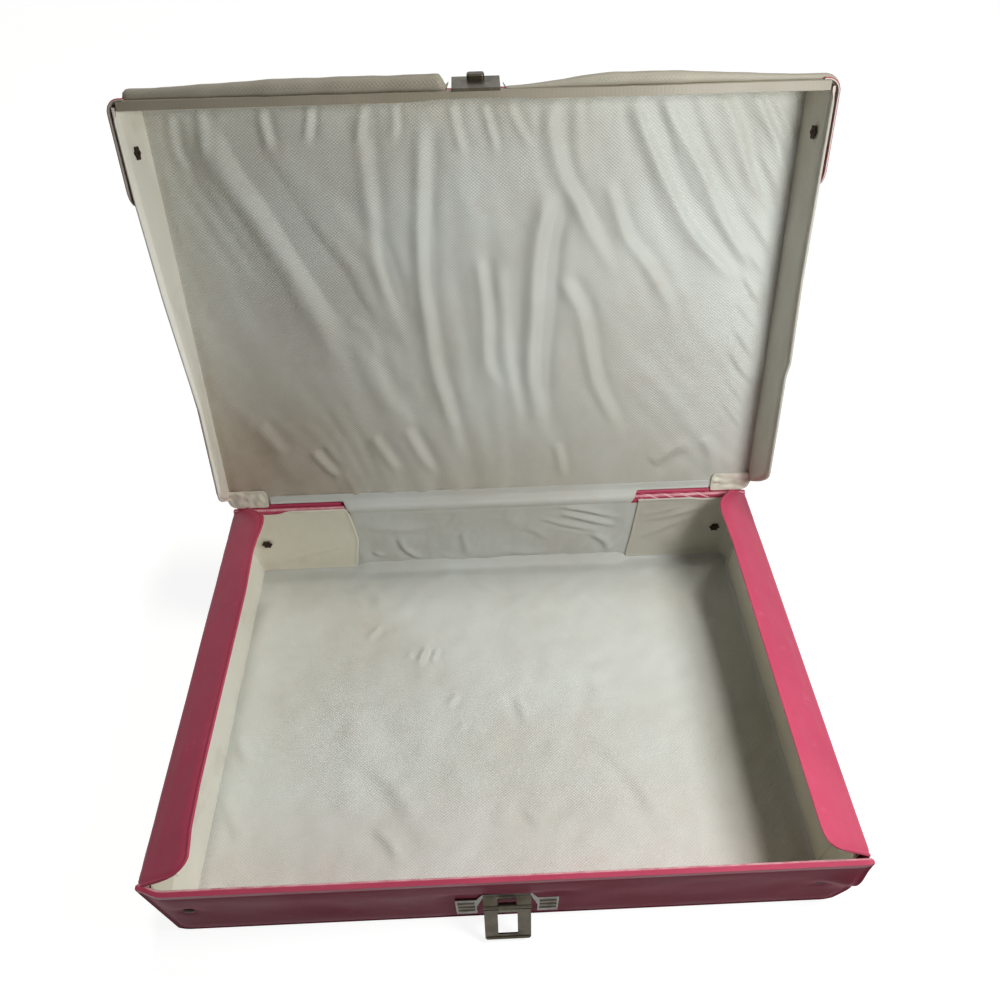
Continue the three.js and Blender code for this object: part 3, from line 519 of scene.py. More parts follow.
# Lit and shaded copies of the cream vinyl. The lit one paints light on the left walls. The shaded one paints
# shade on the right lid wall, the back right tab and the lid's corner tabs.
CREAM_LIT = make_lining("cream_vinyl_lit", (250, 247, 236), (240, 236, 222), 0.2)
CREAM_SHADED = make_lining("cream_vinyl_shaded", (206, 203, 192), (192, 187, 173), 0.25)
CREAM = make_lining("cream_vinyl", (234, 230, 215), (223, 217, 198), 0.25)
ROLLED = make_lining("rolled_edge_vinyl", (184, 178, 162), (160, 153, 136), 0.7)
# Darker cream for the free edge of the lid's front wall and the outer strip beside it: painted shade.
EDGE_SHADED = make_lining("edge_vinyl_shaded", (164, 156, 139), (146, 138, 120), 0.2)
NICKEL = make_nickel("aged_nickel")
RUST = make_rust("rusted_rivet")


# Camera at the photograph's angle

def make_camera(place, yaw, pitch, roll, lens):
    """A camera at a place, turned from +Y to the right, down and round, in degrees."""
    data = bpy.data.cameras.new("camera")
    data.sensor_width = 36
    data.lens = lens
    data.clip_start = 0.01
    camera = bpy.data.objects.new("camera", data)
    bpy.context.scene.collection.objects.link(camera)
    turn = Matrix.Translation(Vector(place) * MM)
    for angle, axis in ((-yaw, "Z"), (90 - pitch, "X"), (roll, "Z")):
        turn = turn @ Matrix.Rotation(math.radians(angle), 4, axis)
    camera.matrix_world = turn
    bpy.context.scene.camera = camera


make_camera(place=(-2.01, -243.79, 464.92), yaw=1.337, pitch=47.246, roll=-1.230, lens=27.856)


# Studio

def seen_directly(tree):
    """One for what the camera, glass or metal sees, and nought for the light that falls on the case."""
    path = add(tree, "ShaderNodeLightPath", {})
    seen = maths(tree, "MAXIMUM", path.outputs["Is Camera Ray"], path.outputs["Is Glossy Ray"])
    return maths(tree, "MAXIMUM", seen, path.outputs["Is Transmission Ray"])


def make_world():
    world = bpy.data.worlds.new("studio")
    bpy.context.scene.world = world
    world.use_nodes = True
    tree = world.node_tree
    sky = tree.nodes["Background"]
    fill(tree, sky, {"Color": (1, 0.99, 0.97, 1), "Strength": 0.02})
    white = add(tree, "ShaderNodeEmission", {"Strength": 1})
    both = {0: seen_directly(tree), 1: sky.outputs[0], 2: white.outputs[0]}
    mixed = add(tree, "ShaderNodeMixShader", both)
    fill(tree, tree.nodes["World Output"], {"Surface": mixed.outputs[0]})


def make_ground():
    bpy.ops.mesh.primitive_plane_add(size=12, location=(0, 0, -0.0002))
    ground = bpy.context.object
    ground.name = "ground"
    material, tree, shader = nodes_of("pale_ground")
    fill(tree, shader, {
        "Base Color": (0.3, 0.3, 0.295, 1),
        "Roughness": 0.9,
        "Emission Color": (1, 1, 1, 1),
        "Emission Strength": times(tree, seen_directly(tree), 0.9),
    })
    ground.data.materials.append(material)


def lamp(name, place, aim, size, power, colour):
    data = bpy.data.lights.new(name, "AREA")
    data.color = colour
    data.shape = "DISK"
    data.size = size
    data.energy = power
    obj = bpy.data.objects.new(name, data)
    obj.location = place
    obj.rotation_euler = (Vector(aim) - Vector(place)).to_track_quat("-Z", "Y").to_euler()
    obj.visible_camera = False
    bpy.context.scene.collection.objects.link(obj)


make_world()
make_ground()
lamp("overhead", place=(0.33, 0.6, 2.3), aim=(0, 0, 0), size=0.3, power=17.4,
     colour=(1, 0.975, 0.92))
lamp("near", place=(0.235, -0.13, 0.405), aim=(0, 0.06, 0.08), size=0.13, power=1.4,
     colour=(0.98, 1, 0.99))


# The floor of the case, lined, with the puckers of a loose sheet glued at its rim

# Each fold has the points of its path, its width and its height
FLOOR_FOLDS = (
    (((-54, 30), (-50, 40), (-47, 49)), 2.6, 1.5), (((-45, 33), (-42, 41), (-41, 47)), 2, 1),
    (((-60, 37), (-58, 43)), 2.2, 0.8), (((-90, 55), (-85, 60), (-80, 66)), 2.4, 1),
    (((-34, 0), (-30, 5), (-25, 11)), 2.2, 0.9), (((-26, -16), (-22, -11)), 2.2, 0.7),
    (((10, 12), (14, 0), (20, -18)), 3.4, 0.8), (((-172, -8), (-163, -22), (-154, -36)), 3.6, 1.2),
    (((-172, -50), (-160, -66), (-149, -79)), 4, 1), (((-78, -72), (-66, -84), (-56, -97)), 3.4, 0.9),
    (((8, -62), (17, -72), (26, -82)), 3, 0.6), (((58, -22), (76, -46), (88, -66), (96, -92)), 5, 0.9),
    (((-92, -28), (-66, -50), (-52, -72), (-44, -92)), 6, 1.1),
    (((20, 40), (60, 20), (96, -14)), 9, 0.7), (((-120, 20), (-96, -6), (-84, -40)), 10, 0.9),
    (((60, 100), (82, 78), (96, 60)), 4, 0.6), (((-20, 108), (-4, 96), (10, 90)), 4, 0.7),
    (((-100, 108), (-86, 92), (-80, 76)), 4, 0.8),
)
floor_uneven = waves(11, 14, 120)
floor_fine = waves(12, 5, 22)


def floor_height(x, y, edge):
    inside = smooth(edge, 0, 14)
    between_tabs = 1 - smooth(np.abs(x), 92, 104)
    rise = 1.6 * (1 - smooth(edge, 0, 2.4)) ** 2
    rise = rise + 5 * between_tabs * (1 - smooth(FLOOR_Y - y, 0, 9)) ** 2
    relief = 1 + 0.6 * floor_uneven(x, y) + 0.2 * floor_fine(x, y) + 1.7 * folded(x, y, FLOOR_FOLDS)
    return np.maximum(FLOOR_Z + 0.25 + inside * relief, FLOOR_Z + 0.05) + rise


floor = panel("floor_lining", stations(-FLOOR_X, FLOOR_X, 1.6, False), constant(-FLOOR_Y), constant(FLOOR_Y),
              lying, floor_height, level(FLOOR_Z - LINING), [FLOOR_LINED], 1.6, False)
keep_sheet(floor, "base", ("base_floor_lining",))

bottom_middle = 1.5
bottom = panel("bottom_skin", stations(-CASE_X, CASE_X, 6),
               *rounded(-CASE_Y, CASE_Y, -CASE_X, CASE_X, (5, 5, 5, 5)), lying,
               lambda s, t, e: bottom_middle - welded(e, 1.4),
               lambda s, t, e: bottom_middle + np.minimum(welded(e, 1), 1), [PINK_SHADED], 6, flip=True)
keep(bottom, "base", "pink_vinyl", "base_bottom_cover", "base_bottom_board")


# Front and back walls: skin from the foot, over the rim and down inside, then the lining

HEM_UP = RIM_Z - HEM_RADIUS - WALL_FOOT
HEM_TURN = math.pi * HEM_RADIUS
WALL_RUN = HEM_UP + HEM_TURN + (RIM_Z - HEM_RADIUS - HEM_LOW)
FRONT_RIVETS = [np.mean(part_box(f"corner_rivet_front_{side}"), axis=0) / MM for side in ("left", "right")]


def rim_path(t, h, side):
    """A point of a long wall's skin: t runs up the outside, round the rim and down inside; h is outwards."""
    up_part = np.minimum(t, HEM_UP)
    angle = np.clip((t - HEM_UP) / HEM_RADIUS, 0, math.pi)
    down_part = np.maximum(t - HEM_UP - HEM_TURN, 0)
    reach = HEM_RADIUS + h
    y = CASE_Y - HEM_RADIUS + reach * np.cos(angle)
    z = WALL_FOOT + up_part + reach * np.sin(angle) - down_part
    return side * y, z


def front_lean(x, z):
    """How far the front wall leans out at rest: most at its rim, and nothing at its left corner, at the
    rivets and behind the latch plate."""
    plate = (1 - smooth(np.abs(x), 27, 40)) * (1 - smooth(z, 38, 50))
    held = sum(np.exp(-((x - r[0]) ** 2 + (z - r[2]) ** 2) / 36) for r in FRONT_RIVETS)
    lean = (0.7 * smooth(z, 0, 12) + 2.9 * smooth(z, 22, 70)) * (1 - smooth(-x, 165, CASE_X))
    return lean * (1 - plate) * (1 - np.minimum(held, 1))


def press_front(obj):
    """Gives the leaning front wall a mesh of its own."""
    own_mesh(obj)


def long_wall(which, side, seed):
    uneven = waves(seed, 24, 150)
    hem_inside = 62

    def place(s, t, h):
        y, z = rim_path(t, h, side)
        at_end = smooth(s, 150, CASE_X)
        swollen = np.exp(-(((z - 22) / 10.5) ** 2)) * at_end * 3.9
        if side > 0:
            return s + 0.25 * swollen, y, z
        pushed = 3.4 * np.exp(-(((z - 44) / 13) ** 2)) * at_end * smooth(t, 100, 60)
        return s + swollen, y - front_lean(s, z) - pushed, z

    def front_of(s, t, edge):
        seam = np.exp(-(((t - 65.2) / 0.5) ** 2)) * 0.5
        soft = smooth(edge, 5, 30) * smooth(hem_inside - t, 0, 20)
        border = 0.5 - 0.5 * np.clip(edge / 0.7, 0, 1)
        groove = 0.35 * (smooth(edge, 1.2, 1.8) - smooth(edge, 3.6, 5.4)) * (t < hem_inside)
        return 0.12 + 0.45 * soft * uneven(s, t) - seam - border - groove

    wall = panel(f"{which}_wall_skin", stations(-CASE_X, CASE_X, 3.2),
                 *rounded(0, WALL_RUN, -CASE_X, CASE_X, (7, 7, 0.01, 0.01)), place, front_of,
                 level(-LINING), [PINK_SHADED] * 3 + [PINK_RIM, PINK_CREASED], 1.9, flip=side > 0)
    for polygon in wall.data.polygons:
        x, _, z = polygon.center / MM
        if z > RIM_FROM:
            polygon.material_index = 4 if side > 0 and CREASED[0] < x < CREASED[1] else 3
    keep(wall, "base", "pink_vinyl", f"base_{which}_cover", f"base_{which}_board")
    if side < 0:
        press_front(wall)


long_wall("front", -1, 21)
long_wall("back", 1, 22)

BACK_FOLDS = (
    (((-67, 40), (-64, 24), (-51, 9)), 2.2, 1.5), (((-88, 24), (-84, 18), (-78, 16)), 2, 0.8),
    (((40, 64), (66, 60), (97, 46)), 2.2, 1.3), (((45, 57), (66, 50), (96, 38)), 2.2, 1.2),
    (((30, 54), (52, 44), (84, 34)), 2, 0.9), (((70, 36), (83, 24), (87, 8)), 3, 1.4),
    (((-21, 44), (-20, 28), (-17, 10)), 2.6, 0.6), (((-95, 50), (-60, 46), (-30, 52)), 4, 0.6),
    (((0, 20), (24, 14), (52, 16)), 4, 0.8), (((-40, 18), (-30, 10), (-12, 7)), 2.8, 0.8),
    (((84, 12), (92, 20), (97, 32)), 2.4, 0.8), (((20, 44), (34, 36), (44, 24)), 3, 0.5),
)


def wall_lining(which, side, seed, folds):
    uneven = waves(seed, 12, 90)
    small = waves(seed + 50, 5, 20)
    hem_edge = constant(LONG_LINING_TOP)

    def place(s, t, h):
        return s, side * (LINING_Y - h) - (front_lean(s, t) if side < 0 else 0), t

    def front_of(s, t, edge):
        inside = smooth(edge, 0, 9)
        height = 0.1 + inside * (0.7 + 0.45 * uneven(s, t) + 0.2 * small(s, t) + 1.6 * folded(s, t, folds))
        behind_tab = smooth(np.abs(s), 96, 100)
        over_hem = 0.5 * smooth(t, 60, 63)
        return np.maximum(height, 0.03) * (1 - behind_tab) + 0.05 * behind_tab + over_hem * (1 - behind_tab)

    def over_the_rim(s):
        return hem_edge(s) + 5.9 * (1 - smooth(np.abs(s), 96, 99))

    lining = panel(f"{which}_wall_lining", stations(-FLOOR_X, FLOOR_X, 1.5, False), constant(LINING_Z),
                   over_the_rim if side > 0 else hem_edge, place, front_of, level(-LINING), [LINED], 1.5,
                   False, flip=side < 0)
    keep_sheet(lining, "base", (f"base_{which}_lining",))
    if side < 0:
        press_front(lining)


wall_lining("back", 1, 31, BACK_FOLDS)
wall_lining("front", -1, 33, BACK_FOLDS[4:9])


# Side walls with the flaps that fold in from their tops

LEFT_WIDTH = (
    (-119.3, 14), (-118.9, 20), (-118, 24.6), (-116.4, 28.2), (-114.4, 30.8), (-112, 32.2),
    (-108, 31.6), (-100, 29.8), (-76, 28.8), (-31, 29.3), (10, 30), (42, 30.4), (60, 29.4), (73, 28.8),
    (83, 30), (90, 31.8), (96, 32.4), (102, 31.4), (106, 28.4), (109, 25.2), (113, 20.6), (118, 14.6),
    (119.3, 12.4),
)
RIGHT_WIDTH = (
    (-119.3, 14), (-118.9, 20), (-118, 24.4), (-116.2, 27.6), (-113, 29.2), (-108, 29.8), (-85, 29.8),
    (-40, 29.6), (0, 29.4), (50, 28.8), (66, 28.6), (80, 29.4), (87, 29.9), (95, 29.8), (101.2, 28),
    (105, 25.6), (109.4, 22), (114, 17.6), (117.6, 14), (119.3, 12),
)
FOLD_OUT = 3
FOLD_BEND = math.radians(60)
SIDE_RUN = SIDE_TOP + 0.6 - SIDE_FOOT
WALL_LENGTH = SIDE_RUN + FOLD_OUT * FOLD_BEND


def side_path(t, h, side):
    """t from the foot of the wall, over the fold, across the flap; h is out of the pink face."""
    up_part = np.minimum(t, SIDE_RUN)
    angle = np.clip((t - SIDE_RUN) / FOLD_OUT, 0, FOLD_BEND)
    across = np.maximum(t - SIDE_RUN - FOLD_OUT * FOLD_BEND, 0)
    x = -CASE_X + FOLD_OUT - (FOLD_OUT + h) * np.cos(angle) + across * math.cos(FLAP_TILT)
    z = SIDE_FOOT + up_part + (FOLD_OUT + h) * np.sin(angle) + across * math.sin(FLAP_TILT)
    return -side * x, z


def reach_front(s):
    """The flaps' front corners reach a little forward, to the leaning front wall."""
    return 2.5 * smooth(-s, 96, SIDE_REACH)


def side_skin(which, side, width_at, seed):
    uneven = waves(seed, 20, 140)
    dips = waves(seed + 5, 9, 40)

    def hi(s):
        return WALL_LENGTH + width_at(s) - 1.7

    def place(s, t, h):
        x, z = side_path(t, h, side)
        share = smooth(t, 20, 60) * (1.3 if side > 0 else 1)
        return x, s - reach_front(s) * share, z

    def front_of(s, t, edge):
        over = t - WALL_LENGTH
        on_flap = smooth(over, 2, 8) * smooth(hi(s) - t, 2, 7)
        weld = 0.32 * (smooth(edge, 1.1, 1.4) - smooth(edge, 1.8, 3.4))
        border = 0.9 * (1 - dome(edge / 0.8))
        on_wall = smooth(edge, 6, 20) * (1 - smooth(over, -12, -2))
        flap_swell = on_flap * (0.35 + 0.3 * uneven(s, t) + 0.1 * dips(s, t))
        return 0.1 + 0.28 * on_wall * (uneven(s, t) - 1.3) + flap_swell - weld - border

    def back_of(s, t, edge):
        on_flap = smooth(t - WALL_LENGTH, -2, 2)
        return -(0.6 + on_flap * smooth(edge, 3.4, 6) - 0.2 * on_flap)

    skin = panel(f"{which}_side_skin", stations(-SIDE_REACH, SIDE_REACH, 2.4), constant(0), hi, place,
                 front_of, back_of, [PINK], flip=side < 0)
    covered = [f"{part}_{which}_{layer}" for part in ("base", "flap") for layer in ("cover", "board")]
    keep(skin, None, "pink_vinyl", *covered)
    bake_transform(skin)


def side_lining(which, side, seed, material):
    uneven = waves(seed, 14, 90)

    def front_of(s, t, edge):
        return 0.1 + smooth(edge, 0, 8) * np.maximum(0.5 + 0.35 * uneven(s, t), 0.05)

    def place(s, t, h):
        slack = 3.2 * (1 - smooth(t, LINING_Z, 46)) if side < 0 else 0
        return side * (LINING_X - h - slack), s, t

    lining = panel(f"{which}_wall_lining", stations(-SIDE_REACH, SIDE_REACH, 1.8, False),
                   constant(LINING_Z), constant(SIDE_LINING_TOP), place, front_of, level(-LINING),
                   [material], 1.8, False, flip=side > 0)
    keep_sheet(lining, "base", (f"base_{which}_lining",))


def flap_lining(which, side, width_at, seed):
    uneven = waves(seed, 18, 90)

    def place(s, t, h):
        """t runs across the flap, and h is out of its underside."""
        x = -FLAP_PIVOT[0] + t * math.cos(FLAP_TILT) + h * math.sin(FLAP_TILT)
        z = FLAP_PIVOT[1] + t * math.sin(FLAP_TILT) - h * math.cos(FLAP_TILT)
        return -side * x, s - reach_front(s), z

    def front_of(s, t, edge):
        return -1.15 + 0.9 * smooth(edge, 3.2, 6) + 0.25 * smooth(edge, 1.4, 9) * uneven(s, t)

    reach = SIDE_REACH - 0.1
    lining = panel(f"{which}_flap_lining", stations(-reach, reach, 2.6), constant(1.2),
                   lambda s: width_at(s) - 0.1, place, front_of, level(-1.5), [LINED], 2.4, flip=side > 0)
    keep_sheet(lining, f"flap_{which}", (f"flap_{which}_lining",))


side_skin("left", -1, through(LEFT_WIDTH), 41)
side_skin("right", 1, through(RIGHT_WIDTH), 45)
# The left wall lining takes the lit copy of the cream: painted light.
side_lining("left", -1, 51, CREAM_LIT)
side_lining("right", 1, 53, CREAM)
flap_lining("left", -1, through(LEFT_WIDTH), 61)
flap_lining("right", 1, through(RIGHT_WIDTH), 63)


# The lid

# Each fold has the points of its path (x and distance from the hinge), its width, height and hollow
LID_FOLDS = (
    (((-149, 240), (-141, 215), (-128, 190), (-116, 165), (-103, 136),
        (-92, 110), (-80, 84)), 8.5, 4.2, 1),
    (((-149, 246), (-149, 234), (-150, 218)), 3, 1.2, 0.7),
    (((-116, 245), (-116, 236), (-114, 222)), 2.6, 1.1, 0.8),
    (((-90, 246), (-91, 238), (-95, 226)), 2.2, 1.3, 0.8),
    (((-61, 246), (-63, 236), (-67, 224)), 2.4, 1, 0.6),
    (((-98, 160), (-85, 130), (-75, 100), (-65, 75), (-50, 55), (-40, 40)), 6, 1.2, 0.6),
    (((-65, 245), (-64, 200), (-63, 165), (-57, 130), (-50, 105)), 4.2, 1.2, 0.8),
    (((-30, 240), (-37, 165), (-35, 120), (-32, 90), (-25, 60), (-18, 30), (-8, 10)), 4, 1.8, 0.8),
    (((-3, 165), (0, 130), (0, 100), (5, 85), (15, 75)), 3.6, 1.3, 0.8),
    (((40, 245), (41, 225), (47, 205), (56, 190), (68, 168), (80, 146)), 4, 1.6, 0.9),
    (((40, 200), (33, 170), (30, 130), (28, 90), (33, 60), (40, 35)), 5.4, 2.6, 0.9),
    (((72, 205), (77, 191), (85, 172), (98, 155), (112, 134), (122, 112)), 3.6, 1.4, 0.7),
    (((45, 150), (58, 130), (65, 100), (70, 80), (80, 60), (95, 30)), 4, 1.5, 0.8),
    (((84, 244), (88, 236), (95, 222), (107, 199), (118, 181), (129, 167),
        (146, 151), (166, 134)), 4.2, 2.6, 0.9),
    (((100, 246), (104, 239), (114, 224), (125, 207), (137, 186),
        (151, 165), (165, 151), (176, 140)), 3.8, 2.2, 0.9),
    (((132, 246), (136, 240), (145, 224), (154, 203), (162, 187), (173, 173)), 3.6, 1.9, 0.9),
    (((150, 246), (153, 241), (163, 225), (172, 207), (177, 197)), 3, 1.5, 0.9),
    (((158, 247), (166, 236), (175, 222)), 2.2, 0.9, 0.8),
    (((-150, 60), (-143, 48), (-135, 35)), 4, 1.1, 0.6),
    (((-118, 40), (-110, 28), (-100, 18)), 3, 1.6, 0.7),
    (((-77, 50), (-69, 34), (-60, 20)), 3.4, 1.1, 0.6), (((-55, 55), (-46, 35), (-35, 15)), 3.4, 1.2, 0.6),
    (((45, 40), (48, 26), (50, 10)), 3, 1, 0.6), (((110, 22), (124, 32), (140, 35)), 5, 1.4, 0.5),
    (((145, 40), (151, 26), (155, 10)), 4, 1.2, 0.5),
    (((-14, 245), (-12, 232), (-7, 214)), 2.4, 0.9, 0.6), (((3, 244), (6, 234), (11, 216)), 2.2, 1, 0.6),
    (((17, 244), (22, 233), (30, 220)), 2.2, 0.9, 0.6),
    (((-165, 244), (-166, 226), (-160, 210)), 2.6, 1, 0.7),
    (((-45, 246), (-45, 236), (-48, 224)), 2.2, 0.8, 0.6),
    (((8, 160), (12, 130), (14, 96), (20, 60), (24, 30)), 4, 0.9, 0.5),
    (((-84, 130), (-72, 120), (-66, 100)), 4.4, 0.9, 0.5),
)
lid_uneven = waves(71, 18, 150)
lid_small = waves(72, 5, 18)
lid_back_uneven = waves(75, 40, 180)


def flow_ripples(x, dist, seed, count=16):
    """Small folds that run the way the big ones do."""
    draw = np.random.default_rng(seed)
    slope = np.interp(x, (-178, -110, -30, 30, 110, 178), (0.42, 0.55, 0.14, 0.06, 0.62, 0.8))
    across = x + slope * (dist - 125)
    total = np.zeros(x.shape)
    for _ in range(count):
        length = np.exp(draw.uniform(np.log(11), np.log(46)))
        size = draw.uniform(0.6, 2)
        bend = size * np.sin(2 * np.pi * dist / draw.uniform(110, 260) + draw.uniform(0, 6.3))
        run = 2 * np.pi * (dist / draw.uniform(90, 240) + x / draw.uniform(150, 500))
        patch = 0.5 + 0.5 * np.sin(run + draw.uniform(0, 6.3))
        ripple = np.cos(2 * np.pi * across / length + draw.uniform(0, 6.3) + bend)
        total = total + (length / 46) ** 0.8 * patch * ripple
    return total / math.sqrt(0.2 * count)


def lid_relief(x, dist):
    relief = 0.34 * flow_ripples(x, dist, 77)
    for points, width, height, valley in LID_FOLDS:
        side = -1 if points[0][1] > points[-1][1] else 1
        relief = relief + fold(x, dist, points, width, height, valley, side, 0.1, 0.6)
    for i in range(11):
        start = 238 - 17 * i
        points = ((152 + 1.3 * (i % 3), start), (162, start - 12), (174, start - 26 - 2 * (i % 2)))
        relief = relief + fold(x, dist, points, 1.7, 0.5 + 0.2 * (i % 3), 0.7)
    return relief


def lid_lining_height(s, t, edge):
    inside = smooth(edge, 0, 7)
    relief = 1.3 + 0.5 * lid_uneven(s, t) + 0.08 * lid_small(s, t) + 1.25 * lid_relief(s, t)
    return LID_IN - np.maximum(0.15 + inside * relief, 0.05)


def lid_cover_height(s, t, edge):
    soft = 0.2 * smooth(edge, 8, 40)
    return LID_OUT - 1.4 + np.minimum(welded(edge, 1.4), 1.4) + soft * lid_back_uneven(s, t) - soft


lid_lining = panel("lid_lining", stations(-LID_LINING_X, LID_LINING_X, 1.4, False), constant(0.6),
                   constant(248.7), lid_point, lid_lining_height, level(LID_IN + LINING), [LID_LINED], 1.4,
                   False)
keep_sheet(lid_lining, "lid", ("lid_panel_lining",))
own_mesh(lid_lining)

lid_cover = panel("lid_cover", stations(-LID_X, LID_X, 3.2),
                  *rounded(2.5, LID_REACH, -LID_X, LID_X, (5, 5, LID_CORNER, LID_CORNER)), lid_point,
                  lid_cover_height, lambda s, t, e: LID_OUT - 1.4 - np.minimum(welded(e, 0.9), 0.9),
                  [PINK_SHADED], 3.2, flip=True)
keep(lid_cover, "lid", "pink_vinyl", "lid_panel_cover", "lid_panel_board")


# Side and front walls of the lid, laid out from the middle of their boards

HALF_BOARD = 1.6
LEFT_LEAN = through(((0, 6), (31, 7.6), (85, 8), (124, 4.9), (153, 2.7), (205, 0.4), (246, 0)))
RIGHT_LEAN = through(((0, 0.8), (60, 0.7), (94, 0.8), (102, -0.7), (150, 0.5), (246, 0)))


# The cream passed in is the lit or the shaded copy: painted light and shade.
def lid_side_wall(which, side, seed, lean_at, pale):
    uneven = waves(seed, 16, 110)
    small = waves(seed + 3, 7, 26)
    start, end = 4.5, 248.6

    def hi(s):
        share = np.clip((s - start) / 22.5, 0, 1)
        return 0.6 + (LID_DEEP - 0.6) * (1 - (1 - share) ** 1.4)

    def from_edge(s, t):
        return np.minimum(hi(s) - t, s - start)

    def place(s, t, h):
        bend = lean_at(s) * np.clip(t / LID_DEEP, 0, 2) ** 1.3
        return lid_point(side * (LID_X - HALF_BOARD - h - bend), s, LID_IN - t)

    def front_of(s, t, edge):
        far = from_edge(s, t)
        soft = smooth(far, 5, 14) * smooth(t, 1, 8)
        swell = soft * (0.4 * uneven(s, t) + 0.12 * small(s, t) - 0.1)
        return np.minimum(welded(far, HALF_BOARD), HALF_BOARD) + swell

    def back_of(s, t, edge):
        far = from_edge(s, t)
        swell = 0.12 * smooth(far, 5, 20) * uneven(s, t)
        return -np.minimum(welded(far, HALF_BOARD), HALF_BOARD) + swell + 1.4 * smooth(s, 241, 247.6)

    wall = panel(f"lid_{which}_wall", stations(start, end, 2.6), constant(-1.4), hi, place, front_of, back_of,
                 [pale, PINK, pale], 1.6, turned=lambda s, t: hi(s) - t < 1.5, flip=side > 0)
    keep(wall, "lid", "lining_vinyl", *(f"lid_{which}_{layer}" for layer in ("cover", "board", "lining")))
    return wall


# The left lid wall takes the lit cream and the right one the shaded cream: painted light and shade.
lid_left = lid_side_wall("left", -1, 81, LEFT_LEAN, CREAM_LIT)
lid_side_wall("right", 1, 83, RIGHT_LEAN, CREAM_SHADED)
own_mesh(lid_left)

front_uneven = waves(85, 14, 120)


def lid_front_height(s, t, edge):
    free = LID_DEEP - t
    clear = smooth(np.abs(s), 16, 34)
    thick = (0.5 + clear) * (1 - smooth(free, 5, 11))
    line = 0.35 * np.exp(-(((free - 0.9) / 0.5) ** 2)) - 0.5 * np.exp(-(((free - 2.3) / 0.5) ** 2))
    soft = smooth(free, 10, 16) * smooth(t, 0.5, 6)
    return HALF_BOARD + thick + line * clear + soft * 0.35 * front_uneven(s, t)


lid_front = panel("lid_front_wall", stations(-LID_FRONT_X, LID_FRONT_X, 2.6, False), constant(-1.4),
                  constant(LID_DEEP),
                  lambda s, t, h: lid_point(s, LID_REACH - HALF_BOARD - h, LID_IN - t), lid_front_height,
                  lambda s, t, e: -HALF_BOARD + 0.5 * (1 - smooth(LID_DEEP - t, 0, 1.2)),
                  # The free edge and the outer strip beside it take the darker edge cream: painted shade.
                  [CREAM, PINK_SHADED, EDGE_SHADED], 1.4, turned=lambda s, t: LID_DEEP - t < 11, flip=True)
keep(lid_front, "lid", "lining_vinyl", "lid_front_cover", "lid_front_board", "lid_front_lining")
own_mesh(lid_front)


# The tabs that wrap the lid's front corners and are riveted to its sides

TAB_BACK = 201
TAB_STRAIGHT = LID_REACH - LID_CORNER - TAB_BACK
TAB_RUN = TAB_STRAIGHT + math.radians(90) * LID_CORNER
TAB_LOW = -2.6


def lid_corner(which, side, seed):
    uneven = waves(seed, 9, 50)

    def place(s, t, h):
        angle = np.clip((s - TAB_STRAIGHT) / LID_CORNER, 0, math.pi / 2)
        beyond = np.maximum(s - TAB_RUN, 0)
        reach = LID_CORNER + h
        x = LID_X + 0.3 - LID_CORNER + reach * np.cos(angle) - beyond
        dist = TAB_BACK + np.minimum(s, TAB_STRAIGHT) + reach * np.sin(angle)
        return lid_point(side * x, dist, LID_IN - t)

    def front_of(s, t, edge):
        away = np.minimum(edge, np.where(s > TAB_STRAIGHT, np.minimum(t - TAB_LOW, LID_DEEP - t), edge))
        border = 0.55 * bead(away, 0.7) * (away < 1.4)
        soft = smooth(away, 2, 9) * (1 - smooth(s, TAB_STRAIGHT - 4, TAB_STRAIGHT + 4))
        return 0.45 + border + 0.35 * soft * uneven(s, t)

    # The tab's back and edges take the shaded cream: painted shade.
    tab = panel(f"lid_corner_{which}", stations(0, TAB_RUN + 2, 1.6),
                *rounded(TAB_LOW, LID_DEEP, 0, TAB_RUN + 2, (9, 0.01, 9, 0.01)), place, front_of,
                level(-0.1), [PINK, CREAM_SHADED, CREAM_SHADED], 1.8, flip=side < 0)
    keep(tab, "lid", "pink_vinyl", f"lid_tab_{which}")


lid_corner("left", -1, 91)
lid_corner("right", 1, 93)


# The padded lips along the outside of the lid's free edge

def swept(name, centre, wide, high, across, upward, material, ring=22):
    """A closed roll along centre, wide in the direction across and high in the direction upward."""
    n = len(centre)
    angle = np.linspace(0, 2 * math.pi, ring, endpoint=False)
    c = np.sign(np.cos(angle)) * np.abs(np.cos(angle)) ** 0.8
    v = np.sign(np.sin(angle)) * np.abs(np.sin(angle)) ** 0.8
    points = (centre[:, None, :] + across[:, None, :] * (wide[:, None] * c[None, :])[:, :, None]
              + upward[:, None, :] * (high[:, None] * v[None, :])[:, :, None])
    run = run_along(centre)
    girth = 26
    around = np.linspace(0, girth, ring + 1)
    corners = [[(i, j), (i, j + 1), (i + 1, j + 1), (i + 1, j)] for i in range(n - 1) for j in range(ring)]
    corners.append([(0, j) for j in range(ring)][::-1])
    corners.append([(n - 1, j) for j in range(ring)])
    faces = [[i * ring + j % ring for i, j in face] for face in corners]
    uvs = [(run[i], around[j]) for face in corners for i, j in face]
    obj = new_object(name, points.reshape(-1, 3), faces, [material])
    obj.data.uv_layers["UVMap"].data.foreach_set("uv", np.array(uvs, float).ravel())
    return obj


def lid_direction(x, dist, depth):
    """A direction, from the lid's own axes to the part's frame."""
    return np.stack(lid_point(x, dist, depth), axis=1) - np.array(lid_point(0, 0, 0))


